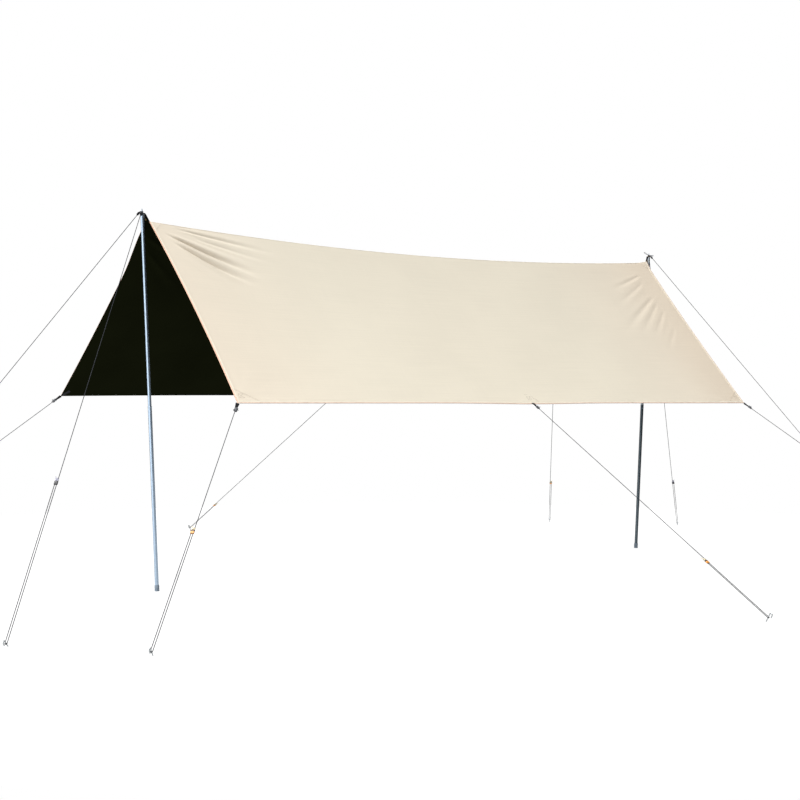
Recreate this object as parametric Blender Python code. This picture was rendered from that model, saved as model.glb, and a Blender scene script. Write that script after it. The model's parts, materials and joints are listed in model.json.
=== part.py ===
"""Canopy tent: one rectangular tarp pitched as an A-frame over two poles.

The tarp hangs between two pole tips, falls to a near and a far hem at about
chest height, and is pulled out by ten guy lines to pegs in the ground.
Metres, +Z up. The origin is on the flat sole of the front pole's foot, +X runs
along the ridge to the back pole, and -Y is the near side.
"""
import math

import bmesh
import bpy
from mathutils import Matrix, Vector

# Gap kept between pieces that touch
TOUCH = 0.0003

# Poles: each leans outward a little at its top
FRONT_FOOT_X = 0.0
BACK_FOOT_X = 4.353
FRONT_TOP_X = -0.108
BACK_TOP_X = 4.495
SHOULDER_HEIGHT = 2.400
LOWER_TUBE_RADIUS = 0.0125
UPPER_TUBE_RADIUS = 0.0110
TUBE_WALL = 0.0012
TUBE_JOINT = 1.180
TUBE_OVERLAP = 0.120
FOOT_RADIUS = 0.0155
FOOT_HEIGHT = 0.040
FOOT_SOLE = 0.008
FOOT_BELOW_CUT = 0.004
FOOT_SHOULDER_DROP = 0.006
FOOT_RIM = 0.0012
SHOULDER_THICKNESS = 0.004
SPIGOT_LENGTH = 0.040
PIN_LENGTH = 0.031
PIN_TAPER = 0.012
PIN_TIP_RADIUS = 0.0018
TURNED_SIDES = 24
SMOOTH_ANGLE = 30.0

# Tarp: flat size 3.0 by 4.5 m, with the ridge across its middle
RIDGE_FRONT = Vector((-0.0600, 0.0, 2.357))
RIDGE_BACK = Vector((4.4595, 0.0, 2.352))
NEAR_FRONT = Vector((-0.0075, -1.024, 1.206))
NEAR_BACK = Vector((4.4635, -1.024, 1.198))
FAR_FRONT = Vector((-0.2075, 1.033, 1.244))
FAR_BACK = Vector((4.3875, 1.033, 1.244))
RIDGE_SAG = 0.086
NEAR_FRONT_BOW = 0.020
FAR_FRONT_BOW = 0.013
BACK_BOW = 0.030
SHEET_THICKNESS = 0.003
CELLS_ALONG = 16
CELLS_DOWN = 6

# Wire of the pole pins and the pegs, and the cord that turns round it
WIRE_RADIUS = 0.0035
CORD_RADIUS = 0.0020
TURN_RADIUS = WIRE_RADIUS + TOUCH + CORD_RADIUS
BORE_CLEARANCE = 0.0004
HALF_TURN_STEPS = 8

# Webbing tabs
WEBBING_THICKNESS = 0.0024
TAB_WIDTH = 0.024
TAB_EYE_WIDTH = 0.014
TAB_LENGTH = 0.058
TAB_FOLD_LENGTH = 0.014
TAB_FOLD_ARC = 280.0
TAB_FOLD_STEPS = 8
TAB_STANDOFF = 0.0012
EYE_RADIUS = CORD_RADIUS + BORE_CLEARANCE
EYELET_OUTER = 0.0085
EYELET_RISE = 0.0020
EYELET_EDGE = 0.0007
EYELET_CLEARANCE = 0.0006
RIDGE_TAB_END_RADIUS = 0.0120
RIDGE_TAB_END_STEPS = 8
RIDGE_TAB_SHEET_HALF = 0.0080
RIDGE_TAB_FLAT_END = 0.0140
RIDGE_TAB_BEND_RUN = 0.0060
RIDGE_TAB_BEND_DROP = 0.0040
RIDGE_TAB_LIFT = TOUCH + 0.0006

# Cord eyes: how far below its pin or tab each one is knotted
EYE_LENGTH = 0.050
LOOP_STEP = 2 * CORD_RADIUS + 0.0006
STRAND_STEP = 2 * CORD_RADIUS + TOUCH

# Leg of an eye round a pole pin: how far out from the pin, how far below it
PIN_LEG = ((0.0, 0.0), (0.010, 0.0), (0.013, 0.0010), (0.016, 0.0034), (0.019, 0.0068))
PIN_LEG_CLOSING = 0.15

# Leg of an eye through a tab: how far out from the fold, how far past its edge
TAB_LEG = ((0.009, 0.0025), (0.004, 0.0035), (0.001, 0.0020), (0.0, 0.0))

# Adjusters that run on the guy lines
RUNNER_LENGTH = 0.042
RUNNER_WIDTH = 0.022
RUNNER_THICKNESS = 0.009
RUNNER_END_STEPS = 6
BORE_SIDES = 8
TAIL_BEYOND_RUNNER = 0.012

# Pegs: wire hooks, driven square to their line and cut at ground level
PEG_LOOP_HEIGHT = 0.030
PEG_SHAFT_HEIGHT = 0.052
PEG_HOOK_RADIUS = 0.009
PEG_TIP_LENGTH = 0.014
PEG_BELOW_CUT = 0.030
PEG_SMOOTH_ANGLE = 40.0

# Guy lines: where each one is pegged, how far its adjuster is from the peg, and,
# on a pole, whether its eye is the lower or the upper one on the pin
POLE_GUYS = (
    ("front_near", FRONT_TOP_X, Vector((-1.51, -1.35, 0.0)), 0.97, 0),
    ("front_far", FRONT_TOP_X, Vector((-1.60, 1.32, 0.0)), 0.97, 1),
    ("back_near", BACK_TOP_X, Vector((6.15, -1.18, 0.0)), 0.53, 0),
    ("back_far", BACK_TOP_X, Vector((6.15, 1.18, 0.0)), 0.53, 1),
)
NEAR_MIDDLE_X = 2.29
FAR_MIDDLE_X = 2.052
HEM_GUYS = (
    ("near_front_corner", "near_front", Vector((-1.043, -2.00, 0.0)), 0.80),
    ("near_middle", "near_middle", Vector((2.174, -3.08, 0.0)), 0.52),
    ("near_back_corner", "near_back", Vector((5.60, -2.15, 0.0)), 0.70),
    ("far_front_corner", "far_front", Vector((-1.43, 2.20, 0.0)), 0.80),
    ("far_middle", "far_middle", Vector((2.085, 3.42, 0.0)), 0.52),
    ("far_back_corner", "far_back", Vector((5.40, 2.17, 0.0)), 0.62),
)

UP = Vector((0.0, 0.0, 1.0))


def clear_scene():
    for item in list(bpy.data.objects):
        bpy.data.objects.remove(item, do_unlink=True)


def material(name, colour, roughness, metallic=0.0):
    made = bpy.data.materials.new(name)
    made.use_nodes = True
    shader = made.node_tree.nodes["Principled BSDF"]
    shader.inputs["Base Color"].default_value = (*colour, 1.0)
    shader.inputs["Roughness"].default_value = roughness
    shader.inputs["Metallic"].default_value = metallic
    return made


def add_object(name, data, finish):
    item = bpy.data.objects.new(name, data)
    item.data.materials.append(finish)
    bpy.context.scene.collection.objects.link(item)
    return item


def mesh_from(bm, name):
    bmesh.ops.recalc_face_normals(bm, faces=bm.faces)
    mesh = bpy.data.meshes.new(name)
    bm.to_mesh(mesh)
    bm.free()
    return mesh


def smooth(mesh, angle=SMOOTH_ANGLE):
    mesh.shade_smooth()
    mesh.set_sharp_from_angle(angle=math.radians(angle))


# Tarp

def bow(t):
    """Parabola that is 0 at both ends and 1 in the middle."""
    return 4.0 * t * (1.0 - t)


def slope_point(front_corner, back_corner, front_bow, along, down):
    """Point of a slope, along from front to back and down from ridge to hem.

    The surface is the Coons patch of its four edges: the ridge sags, the hem
    is straight, and the two gable edges curve inward.
    """
    ridge = RIDGE_FRONT.lerp(RIDGE_BACK, along) - UP * RIDGE_SAG * bow(along)
    hem = front_corner.lerp(back_corner, along)
    front = RIDGE_FRONT.lerp(front_corner, down) + Vector((front_bow * bow(down), 0, 0))
    back = RIDGE_BACK.lerp(back_corner, down) - Vector((BACK_BOW * bow(down), 0, 0))
    lengthwise = ridge.lerp(hem, down)
    crosswise = front.lerp(back, along)
    corners = RIDGE_FRONT.lerp(RIDGE_BACK, along).lerp(hem, down)
    return lengthwise + crosswise - corners


def make_slope(name, front_corner, back_corner, front_bow, finish):
    """One half of the tarp, kept half a touching gap off the ridge line."""
    side = math.copysign(1.0, front_corner.y)
    off_ridge = Vector((0.0, side * TOUCH / 2, 0.0))
    bm = bmesh.new()
    rows = []
    for j in range(CELLS_DOWN + 1):
        down = j / CELLS_DOWN
        row = []
        for i in range(CELLS_ALONG + 1):
            along = i / CELLS_ALONG
            point = slope_point(front_corner, back_corner, front_bow, along, down)
            row.append(bm.verts.new(point + off_ridge * (1.0 - down)))
        rows.append(row)
    for upper, lower in zip(rows, rows[1:]):
        for i in range(CELLS_ALONG):
            bm.faces.new((upper[i], upper[i + 1], lower[i + 1], lower[i]))
    underside = bmesh.ops.extrude_face_region(bm, geom=list(bm.faces))["geom"]
    lowered = [part for part in underside if isinstance(part, bmesh.types.BMVert)]
    bmesh.ops.translate(bm, verts=lowered, vec=-UP * SHEET_THICKNESS)
    mesh = mesh_from(bm, name)
    smooth(mesh)
    return add_object(name, mesh, finish)


# Poles

def turned_mesh(name, profile, closed):
    """Turns a profile of (radius, height) points about the local Z axis."""
    bm = bmesh.new()
    ring = [bm.verts.new((radius, 0.0, height)) for radius, height in profile]
    pairs = list(zip(ring, ring[1:]))
    if closed:
        pairs.append((ring[-1], ring[0]))
    edges = [bm.edges.new(pair) for pair in pairs]
    bmesh.ops.spin(
        bm,
        geom=ring + edges,
        cent=(0, 0, 0),
        axis=(0, 0, 1),
        angle=2 * math.pi,
        steps=TURNED_SIDES,
        use_merge=True,
    )
    bmesh.ops.remove_doubles(bm, verts=bm.verts, dist=1e-6)
    return mesh_from(bm, name)


def cut_at_ground(mesh):
    """Cuts a mesh, already in world space, flat at the ground."""
    bm = bmesh.new()
    bm.from_mesh(mesh)
    bmesh.ops.remove_doubles(bm, verts=bm.verts, dist=1e-6)
    everything = list(bm.verts) + list(bm.edges) + list(bm.faces)
    cut = bmesh.ops.bisect_plane(
        bm,
        geom=everything,
        plane_co=(0, 0, 0),
        plane_no=(0, 0, 1),
        clear_inner=True,
    )
    rim = [part for part in cut["geom_cut"] if isinstance(part, bmesh.types.BMEdge)]
    bmesh.ops.contextual_create(bm, geom=rim)
    bmesh.ops.recalc_face_normals(bm, faces=bm.faces)
    bm.to_mesh(mesh)
    bm.free()


def turned_to(axis):
    """Rotation that lays the local Z axis along a direction."""
    return axis.to_track_quat("Z", "Y").to_matrix().to_4x4()


def pole_matrix(foot_x, top_x):
    """Frame with its origin at the pole's foot and Z along the pole."""
    axis = Vector((top_x - foot_x, 0.0, SHOULDER_HEIGHT)).normalized()
    return Matrix.Translation((foot_x, 0.0, 0.0)) @ turned_to(axis)


def pole_length(foot_x, top_x):
    return math.hypot(top_x - foot_x, SHOULDER_HEIGHT)


def make_pole(end, foot_x, top_x, finishes):
    """Lower tube, upper tube in its mouth, rubber foot and tip with its pin."""
    frame = pole_matrix(foot_x, top_x)
    length = pole_length(foot_x, top_x)
    shoulder = length - SHOULDER_THICKNESS
    lower_bore = LOWER_TUBE_RADIUS - TUBE_WALL
    upper_bore = UPPER_TUBE_RADIUS - TUBE_WALL
    lower_end = FOOT_SOLE + TOUCH
    lower = (
        (lower_bore, lower_end),
        (LOWER_TUBE_RADIUS, lower_end),
        (LOWER_TUBE_RADIUS, TUBE_JOINT),
        (lower_bore, TUBE_JOINT),
    )
    upper_end = TUBE_JOINT - TUBE_OVERLAP
    upper = (
        (upper_bore, upper_end),
        (UPPER_TUBE_RADIUS, upper_end),
        (UPPER_TUBE_RADIUS, shoulder - TOUCH),
        (upper_bore, shoulder - TOUCH),
    )
    cup = LOWER_TUBE_RADIUS + TOUCH
    foot = (
        (0.0, -FOOT_BELOW_CUT),
        (FOOT_RADIUS, -FOOT_BELOW_CUT),
        (FOOT_RADIUS, FOOT_HEIGHT - FOOT_SHOULDER_DROP),
        (cup + FOOT_RIM, FOOT_HEIGHT),
        (cup, FOOT_HEIGHT),
        (cup, FOOT_SOLE),
        (0.0, FOOT_SOLE),
    )
    spigot = upper_bore - TOUCH
    tip = (
        (0.0, shoulder - SPIGOT_LENGTH),
        (spigot, shoulder - SPIGOT_LENGTH),
        (spigot, shoulder),
        (UPPER_TUBE_RADIUS, shoulder),
        (UPPER_TUBE_RADIUS, length),
        (WIRE_RADIUS, length),
        (WIRE_RADIUS, length + PIN_LENGTH - PIN_TAPER),
        (PIN_TIP_RADIUS, length + PIN_LENGTH),
        (0.0, length + PIN_LENGTH),
    )
    pieces = (
        ("pole_lower_tube", lower, True, "steel"),
        ("pole_upper_tube", upper, True, "steel"),
        ("pole_foot", foot, False, "rubber"),
        ("pole_tip", tip, False, "steel"),
    )
    for piece, profile, closed, finish in pieces:
        name = f"{end}_{piece}"
        mesh = turned_mesh(name, profile, closed)
        mesh.transform(frame)
        if piece == "pole_foot":
            cut_at_ground(mesh)
        smooth(mesh)
        add_object(name, mesh, finishes[finish])


# Cords and wires

def tube_curve(name, points, radius):
    """Round tube of eight sides along a list of points, with filled ends."""
    curve = bpy.data.curves.new(name, "CURVE")
    curve.dimensions = "3D"
    curve.bevel_depth = radius
    curve.bevel_resolution = 2
    curve.use_fill_caps = True
    spline = curve.splines.new("POLY")
    spline.points.add(len(points) - 1)
    for target, point in zip(spline.points, points):
        target.co = (*point, 1.0)
    return curve


def pole_point(foot_x, top_x, along):
    """Point of a pole's axis at a length along it from the foot."""
    return pole_matrix(foot_x, top_x) @ Vector((0.0, 0.0, along))


def sideways(direction):
    """Level direction square to a guy line."""
    return direction.cross(UP).normalized()


class Guy:
    """One guy line: where it is tied, its straight run, its peg and adjuster."""

    def __init__(self, name, start, ground, runner_distance):
        outline = (ground - start).normalized()
        self.name = name
        self.side = sideways(outline)
        self.peg_axis = self.side.cross(outline).normalized()
        self.ground = ground
        self.start = start
        on_peg = ground + self.peg_axis * PEG_LOOP_HEIGHT
        self.turn = on_peg - self.side * TURN_RADIUS
        self.direction = (self.turn - start).normalized()
        self.runner_distance = runner_distance

    def at(self, along_from_turn, across=0.0, above=0.0):
        """Point measured back from the peg, to the tail's side and upward."""
        up = self.side.cross(self.direction)
        point = self.turn - self.direction * along_from_turn
        return point + self.side * across + up * above

    def lower_points(self):
        """Straight run to the peg, turn round it, and tail to the adjuster."""
        points = []
        for i in range(HALF_TURN_STEPS + 1):
            angle = math.pi * i / HALF_TURN_STEPS
            across = TURN_RADIUS - TURN_RADIUS * math.cos(angle)
            points.append(self.at(-TURN_RADIUS * math.sin(angle), across))
        tail = self.runner_distance + RUNNER_LENGTH + TAIL_BEYOND_RUNNER
        points.append(self.at(tail, 2 * TURN_RADIUS))
        return points


def pin_eye_points(guy, centre, outward):
    """Eye of cord that lies round a pole pin, with its knot below the shoulder.

    Each leg runs level past the shoulder, drops over it, and closes on the
    line. The first leg stops beside the line and the second carries on.
    """
    across = outward.cross(UP).normalized()
    knot = guy.start + guy.direction * EYE_LENGTH
    reach = PIN_LEG[-1][0]

    def leg(side):
        points = []
        for out, drop in PIN_LEG[1:]:
            half = TURN_RADIUS * (1.0 - PIN_LEG_CLOSING * (out / reach) ** 2)
            points.append(centre + outward * out + across * side * half - UP * drop)
        return points

    half_turn = []
    for i in range(HALF_TURN_STEPS + 1):
        angle = math.pi * i / HALF_TURN_STEPS
        back = outward * (-TURN_RADIUS * math.sin(angle))
        half_turn.append(centre + back - across * TURN_RADIUS * math.cos(angle))
    first = [knot - across * STRAND_STEP] + leg(-1.0)[::-1]
    return first + half_turn + leg(1.0) + [knot]


def pin_line_start(centre, outward):
    """Where a pole guy's straight line begins, just past the shoulder."""
    out, drop = PIN_LEG[-1]
    return centre + outward * out - UP * drop


def tab_eye_points(guy, eye, across):
    """Eye of cord threaded through the folded end of a webbing tab."""
    knot = eye + guy.direction * EYE_LENGTH

    def leg(side):
        half = TAB_EYE_WIDTH / 2
        return [eye + guy.direction * out + across * side * (half + past) for out, past in TAB_LEG]

    return [knot - across * STRAND_STEP] + leg(-1.0) + leg(1.0)[::-1] + [knot]


def make_runner(guy, finish):
    """Adjuster: a rounded bar with two lengthwise bores for the two strands."""
    name = f"{guy.name}_adjuster"
    curve = bpy.data.curves.new(name, "CURVE")
    curve.dimensions = "2D"
    curve.fill_mode = "BOTH"
    curve.extrude = RUNNER_LENGTH / 2
    bore = CORD_RADIUS + BORE_CLEARANCE
    corner = RUNNER_THICKNESS / 2
    flat = RUNNER_WIDTH / 2 - corner
    outline = []
    for centre, first_angle in ((flat, -math.pi / 2), (-flat, math.pi / 2)):
        for i in range(RUNNER_END_STEPS + 1):
            angle = first_angle + math.pi * i / RUNNER_END_STEPS
            outline.append((centre + corner * math.cos(angle), corner * math.sin(angle)))
    loops = [outline]
    reach = bore / math.cos(math.pi / BORE_SIDES)
    for centre in (-TURN_RADIUS, TURN_RADIUS):
        hole = []
        for i in range(BORE_SIDES):
            angle = -2 * math.pi * (i + 0.5) / BORE_SIDES
            hole.append((centre + reach * math.cos(angle), reach * math.sin(angle)))
        loops.append(hole)
    for loop in loops:
        spline = curve.splines.new("POLY")
        spline.points.add(len(loop) - 1)
        spline.use_cyclic_u = True
        for target, (x, y) in zip(spline.points, loop):
            target.co = (x, y, 0.0, 1.0)
    middle = guy.at(guy.runner_distance + RUNNER_LENGTH / 2, TURN_RADIUS)
    upward = guy.side.cross(guy.direction)
    item = add_object(name, curve, finish)
    item.matrix_world = Matrix((
        (guy.side.x, upward.x, guy.direction.x, middle.x),
        (guy.side.y, upward.y, guy.direction.y, middle.y),
        (guy.side.z, upward.z, guy.direction.z, middle.z),
        (0, 0, 0, 1),
    ))


def make_peg(guy, finish):
    """Wire peg with its hook turned away from the tent, cut at the ground."""
    name = f"{guy.name}_peg"
    outward = (guy.direction - guy.peg_axis * guy.direction.dot(guy.peg_axis)).normalized()
    top = guy.ground + guy.peg_axis * PEG_SHAFT_HEIGHT
    points = [guy.ground - guy.peg_axis * PEG_BELOW_CUT]
    for i in range(HALF_TURN_STEPS + 1):
        angle = math.pi * i / HALF_TURN_STEPS
        over = outward * PEG_HOOK_RADIUS * (1.0 - math.cos(angle))
        rise = guy.peg_axis * PEG_HOOK_RADIUS * math.sin(angle)
        points.append(top + over + rise)
    points.append(points[-1] - guy.peg_axis * PEG_TIP_LENGTH)
    wire = bpy.data.objects.new(name, tube_curve(name, points, WIRE_RADIUS))
    bpy.context.scene.collection.objects.link(wire)
    depsgraph = bpy.context.evaluated_depsgraph_get()
    mesh = bpy.data.meshes.new_from_object(wire.evaluated_get(depsgraph))
    bpy.data.objects.remove(wire, do_unlink=True)
    mesh.name = name
    cut_at_ground(mesh)
    smooth(mesh, PEG_SMOOTH_ANGLE)
    mesh.materials.clear()
    add_object(name, mesh, finish)


# Webbing tabs

def rod_profile(radius, half_length):
    """Profile of a plain rod about its own middle."""
    return ((0.0, -half_length), (radius, -half_length), (radius, half_length), (0.0, half_length))


def make_helper(name, profile, finish):
    """Turned shape that only adds to, or cuts, another piece."""
    helper = add_object(name, turned_mesh(name, profile, False), finish)
    helper.hide_render = True
    helper.display_type = "WIRE"
    return helper


def add_boolean(item, operation, helper):
    step = item.modifiers.new(operation.lower(), "BOOLEAN")
    step.operation = operation
    step.solver = "EXACT"
    step.object = helper


def make_tab(name, root, guy, across, finish):
    """Tab of folded webbing at a corner or hem, with an eye across its end."""
    direction = guy.direction
    normal = across.cross(direction).normalized()
    half_eye = EYE_RADIUS + WEBBING_THICKNESS
    half_strap = WEBBING_THICKNESS / 2
    straight = TAB_LENGTH - TAB_FOLD_LENGTH
    profile = [(0.0, half_strap), (straight, half_strap)]
    for i in range(TAB_FOLD_STEPS + 1):
        angle = math.radians(TAB_FOLD_ARC * (0.5 - i / TAB_FOLD_STEPS))
        profile.append((TAB_LENGTH + half_eye * math.cos(angle), half_eye * math.sin(angle)))
    profile += [(straight, -half_strap), (0.0, -half_strap)]

    def half_width_at(along):
        fraction = min(max(along / straight, 0.0), 1.0)
        return (TAB_WIDTH + (TAB_EYE_WIDTH - TAB_WIDTH) * fraction) / 2

    bm = bmesh.new()
    sides = []
    for sign in (-1.0, 1.0):
        loop = []
        for along, height in profile:
            place = root + direction * along + normal * height
            loop.append(bm.verts.new(place + across * sign * half_width_at(along)))
        sides.append(loop)
    count = len(profile)
    for i in range(count):
        following = (i + 1) % count
        bm.faces.new((sides[0][i], sides[0][following], sides[1][following], sides[1][i]))
    bm.faces.new(sides[0])
    bm.faces.new(list(reversed(sides[1])))
    item = add_object(name, mesh_from(bm, name), finish)
    eye = root + direction * TAB_LENGTH
    cutter = make_helper(f"{name}_eye_cutter", rod_profile(EYE_RADIUS, TAB_WIDTH), finish)
    cutter.matrix_world = Matrix.Translation(eye) @ turned_to(across)
    add_boolean(item, "DIFFERENCE", cutter)
    return eye


def make_ridge_tab(name, ridge_end, foot_x, top_x, finish):
    """Strap from the ridge up to its eyelet, which lies on the pole's shoulder."""
    length = pole_length(foot_x, top_x)
    pin = pole_point(foot_x, top_x, length)
    inward = Vector((math.copysign(1.0, ridge_end.x - top_x), 0.0, 0.0))
    across = UP.cross(inward)
    low = pin + UP * RIDGE_TAB_LIFT
    reach = (ridge_end - pin).dot(inward) - TOUCH
    drop = low.z - (ridge_end.z - SHEET_THICKNESS / 2 - WEBBING_THICKNESS / 2)
    end = RIDGE_TAB_END_RADIUS
    stations = []
    for i in range(1, RIDGE_TAB_END_STEPS + 1):
        angle = math.pi * (1.0 - 0.5 * i / RIDGE_TAB_END_STEPS)
        stations.append((end * math.cos(angle), end * math.sin(angle), 0.0))
    stations.append((RIDGE_TAB_FLAT_END, end, 0.0))
    stations.append((RIDGE_TAB_FLAT_END + RIDGE_TAB_BEND_RUN, end, RIDGE_TAB_BEND_DROP))
    stations.append((reach, RIDGE_TAB_SHEET_HALF, drop))
    bm = bmesh.new()
    rings = []
    for along, half, fall in stations:
        ring = []
        for side, rise in ((-1, 0.0), (1, 0.0), (1, WEBBING_THICKNESS), (-1, WEBBING_THICKNESS)):
            place = low + inward * along + across * side * half + UP * (rise - fall)
            ring.append(bm.verts.new(place))
        rings.append(ring)
    for one, two in zip(rings, rings[1:]):
        for i in range(4):
            following = (i + 1) % 4
            bm.faces.new((one[i], one[following], two[following], two[i]))
    bm.faces.new(rings[0])
    bm.faces.new(list(reversed(rings[-1])))
    item = add_object(name, mesh_from(bm, name), finish)
    top = WEBBING_THICKNESS + EYELET_RISE
    eyelet = (
        (0.0, WEBBING_THICKNESS / 2),
        (EYELET_OUTER, WEBBING_THICKNESS / 2),
        (EYELET_OUTER, top - EYELET_EDGE),
        (EYELET_OUTER - EYELET_EDGE, top),
        (0.0, top),
    )
    collar = make_helper(f"{name}_collar", eyelet, finish)
    collar.matrix_world = Matrix.Translation(low)
    add_boolean(item, "UNION", collar)
    bore_profile = rod_profile(WIRE_RADIUS + EYELET_CLEARANCE, RIDGE_TAB_END_RADIUS)
    bore = make_helper(f"{name}_bore", bore_profile, finish)
    lean = pole_matrix(foot_x, top_x).to_3x3().to_4x4()
    bore.matrix_world = Matrix.Translation(low) @ lean
    add_boolean(item, "DIFFERENCE", bore)


def make_pole_guys(finishes):
    first_loop = RIDGE_TAB_LIFT + WEBBING_THICKNESS + EYELET_RISE + TOUCH + CORD_RADIUS
    for name, top_x, ground, runner_distance, level in POLE_GUYS:
        foot_x = FRONT_FOOT_X if top_x == FRONT_TOP_X else BACK_FOOT_X
        height = pole_length(foot_x, top_x) + first_loop + level * LOOP_STEP
        centre = pole_point(foot_x, top_x, height)
        outward = ground - centre
        outward.z = 0.0
        outward.normalize()
        guy = Guy(f"{name}_guy", pin_line_start(centre, outward), ground, runner_distance)
        points = pin_eye_points(guy, centre, outward) + guy.lower_points()
        add_object(guy.name, tube_curve(guy.name, points, CORD_RADIUS), finishes["cord"])
        make_runner(guy, finishes["dark_runner"])
        make_peg(guy, finishes["steel"])


def hem_point(front_corner, back_corner, x):
    """Point of a straight hem at a place along X."""
    return front_corner.lerp(back_corner, (x - front_corner.x) / (back_corner.x - front_corner.x))


def hem_corners():
    """Outer edge point and sheet normal at each tab of the hem."""
    middle_ridge = RIDGE_FRONT.lerp(RIDGE_BACK, 0.5) - UP * RIDGE_SAG
    corners = {}
    for side, front, back, middle_x in (
        ("near", NEAR_FRONT, NEAR_BACK, NEAR_MIDDLE_X),
        ("far", FAR_FRONT, FAR_BACK, FAR_MIDDLE_X),
    ):
        middle = hem_point(front, back, middle_x)
        normal = (front - back).cross(middle - middle_ridge).normalized()
        if normal.z < 0.0:
            normal.negate()
        corners[f"{side}_front"] = (front, normal)
        corners[f"{side}_middle"] = (middle, normal)
        corners[f"{side}_back"] = (back, normal)
    return corners


def make_hem_guys(finishes):
    corners = hem_corners()
    for name, corner, ground, runner_distance in HEM_GUYS:
        edge, normal = corners[corner]
        edge = edge - UP * SHEET_THICKNESS / 2
        guy = Guy(f"{name}_guy", edge, ground, runner_distance)
        across = guy.direction.cross(normal).normalized()
        root = edge + guy.direction * TAB_STANDOFF
        eye = make_tab(f"{name}_tab", root, guy, across, finishes["webbing"])
        points = tab_eye_points(guy, eye, across) + guy.lower_points()
        add_object(guy.name, tube_curve(guy.name, points, CORD_RADIUS), finishes["cord"])
        make_runner(guy, finishes["amber_runner"])
        make_peg(guy, finishes["steel"])


def main():
    clear_scene()
    finishes = {
        "cloth": material("tarp_cloth", (0.72, 0.63, 0.47), 0.75),
        "steel": material("galvanised_steel", (0.42, 0.47, 0.49), 0.35, 1.0),
        "rubber": material("foot_rubber", (0.03, 0.03, 0.03), 0.8),
        "webbing": material("tab_webbing", (0.02, 0.02, 0.03), 0.85),
        "cord": material("guy_cord", (0.62, 0.62, 0.58), 0.8),
        "dark_runner": material("dark_adjuster", (0.03, 0.03, 0.03), 0.5),
        "amber_runner": material("amber_adjuster", (0.75, 0.34, 0.05), 0.4),
    }
    make_slope("near_slope", NEAR_FRONT, NEAR_BACK, NEAR_FRONT_BOW, finishes["cloth"])
    make_slope("far_slope", FAR_FRONT, FAR_BACK, FAR_FRONT_BOW, finishes["cloth"])
    make_pole("front", FRONT_FOOT_X, FRONT_TOP_X, finishes)
    make_pole("back", BACK_FOOT_X, BACK_TOP_X, finishes)
    make_ridge_tab("front_ridge_tab", RIDGE_FRONT, FRONT_FOOT_X, FRONT_TOP_X, finishes["webbing"])
    make_ridge_tab("back_ridge_tab", RIDGE_BACK, BACK_FOOT_X, BACK_TOP_X, finishes["webbing"])
    make_pole_guys(finishes)
    make_hem_guys(finishes)


main()
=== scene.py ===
"""Canopy tent: the looks of a two-pole camping tarp, built round its packed frame.

Metres, +Z up. The origin is on the flat sole of the front pole's foot, +X runs
along the ridge to the back pole, and -Y is the near side.
"""
import json
import math

import bmesh
import bpy
import numpy as np
from bpy.props import FloatProperty, FloatVectorProperty, PointerProperty
from mathutils import Matrix


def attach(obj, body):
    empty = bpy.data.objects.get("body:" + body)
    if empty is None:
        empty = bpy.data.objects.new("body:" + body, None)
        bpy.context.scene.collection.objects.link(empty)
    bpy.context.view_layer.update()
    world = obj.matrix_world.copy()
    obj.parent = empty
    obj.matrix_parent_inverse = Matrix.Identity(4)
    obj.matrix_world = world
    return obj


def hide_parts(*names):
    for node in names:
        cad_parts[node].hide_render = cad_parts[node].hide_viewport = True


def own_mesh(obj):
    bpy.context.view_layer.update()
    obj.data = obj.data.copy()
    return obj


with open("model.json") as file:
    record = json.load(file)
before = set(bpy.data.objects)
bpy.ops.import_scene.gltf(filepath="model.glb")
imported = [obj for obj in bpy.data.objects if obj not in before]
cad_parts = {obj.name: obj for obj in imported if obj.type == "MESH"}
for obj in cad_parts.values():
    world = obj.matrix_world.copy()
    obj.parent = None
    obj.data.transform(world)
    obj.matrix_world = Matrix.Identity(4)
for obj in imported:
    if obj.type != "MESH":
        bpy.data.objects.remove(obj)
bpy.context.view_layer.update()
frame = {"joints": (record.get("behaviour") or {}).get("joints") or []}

bl_info = {
    "name": "Canopy tent",
    "version": (1, 0, 0),
    "blender": (4, 5, 0),
    "location": "3D View > Sidebar > Tent",
    "description": "Builds a two-pole camping tarp round its packed frame",
    "category": "Object",
}

UP = np.array((0.0, 0.0, 1.0))
ALONG = np.array((1.0, 0.0, 0.0))
ACROSS = np.array((0.0, 1.0, 0.0))
TOUCH = 0.0003

# Poles, as in the frame
FRONT_FOOT_X = 0.0
BACK_FOOT_X = 4.353
FRONT_TOP_X = -0.108
BACK_TOP_X = 4.495
SHOULDER_HEIGHT = 2.400
LOWER_TUBE_RADIUS = 0.0125
UPPER_TUBE_RADIUS = 0.0110
TUBE_WALL = 0.0012
TUBE_JOINT = 1.180
TUBE_OVERLAP = 0.120
FOOT_RADIUS = 0.0155
FOOT_HEIGHT = 0.040
FOOT_SOLE = 0.008
SHOULDER_THICKNESS = 0.004
SPIGOT_LENGTH = 0.040
PIN_LENGTH = 0.031
PIN_TAPER = 0.012
PIN_TIP_RADIUS = 0.0018

# Pole details, in the looks only
TURNED_SIDES = 64
TUBE_RIM = 0.0007
FOOT_RIB_HEIGHTS = (0.0085, 0.0145, 0.0205)
BUTTON_DROP = 0.030
BUTTON_DIRECTION = (-0.35, -0.94, 0.0)

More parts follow.
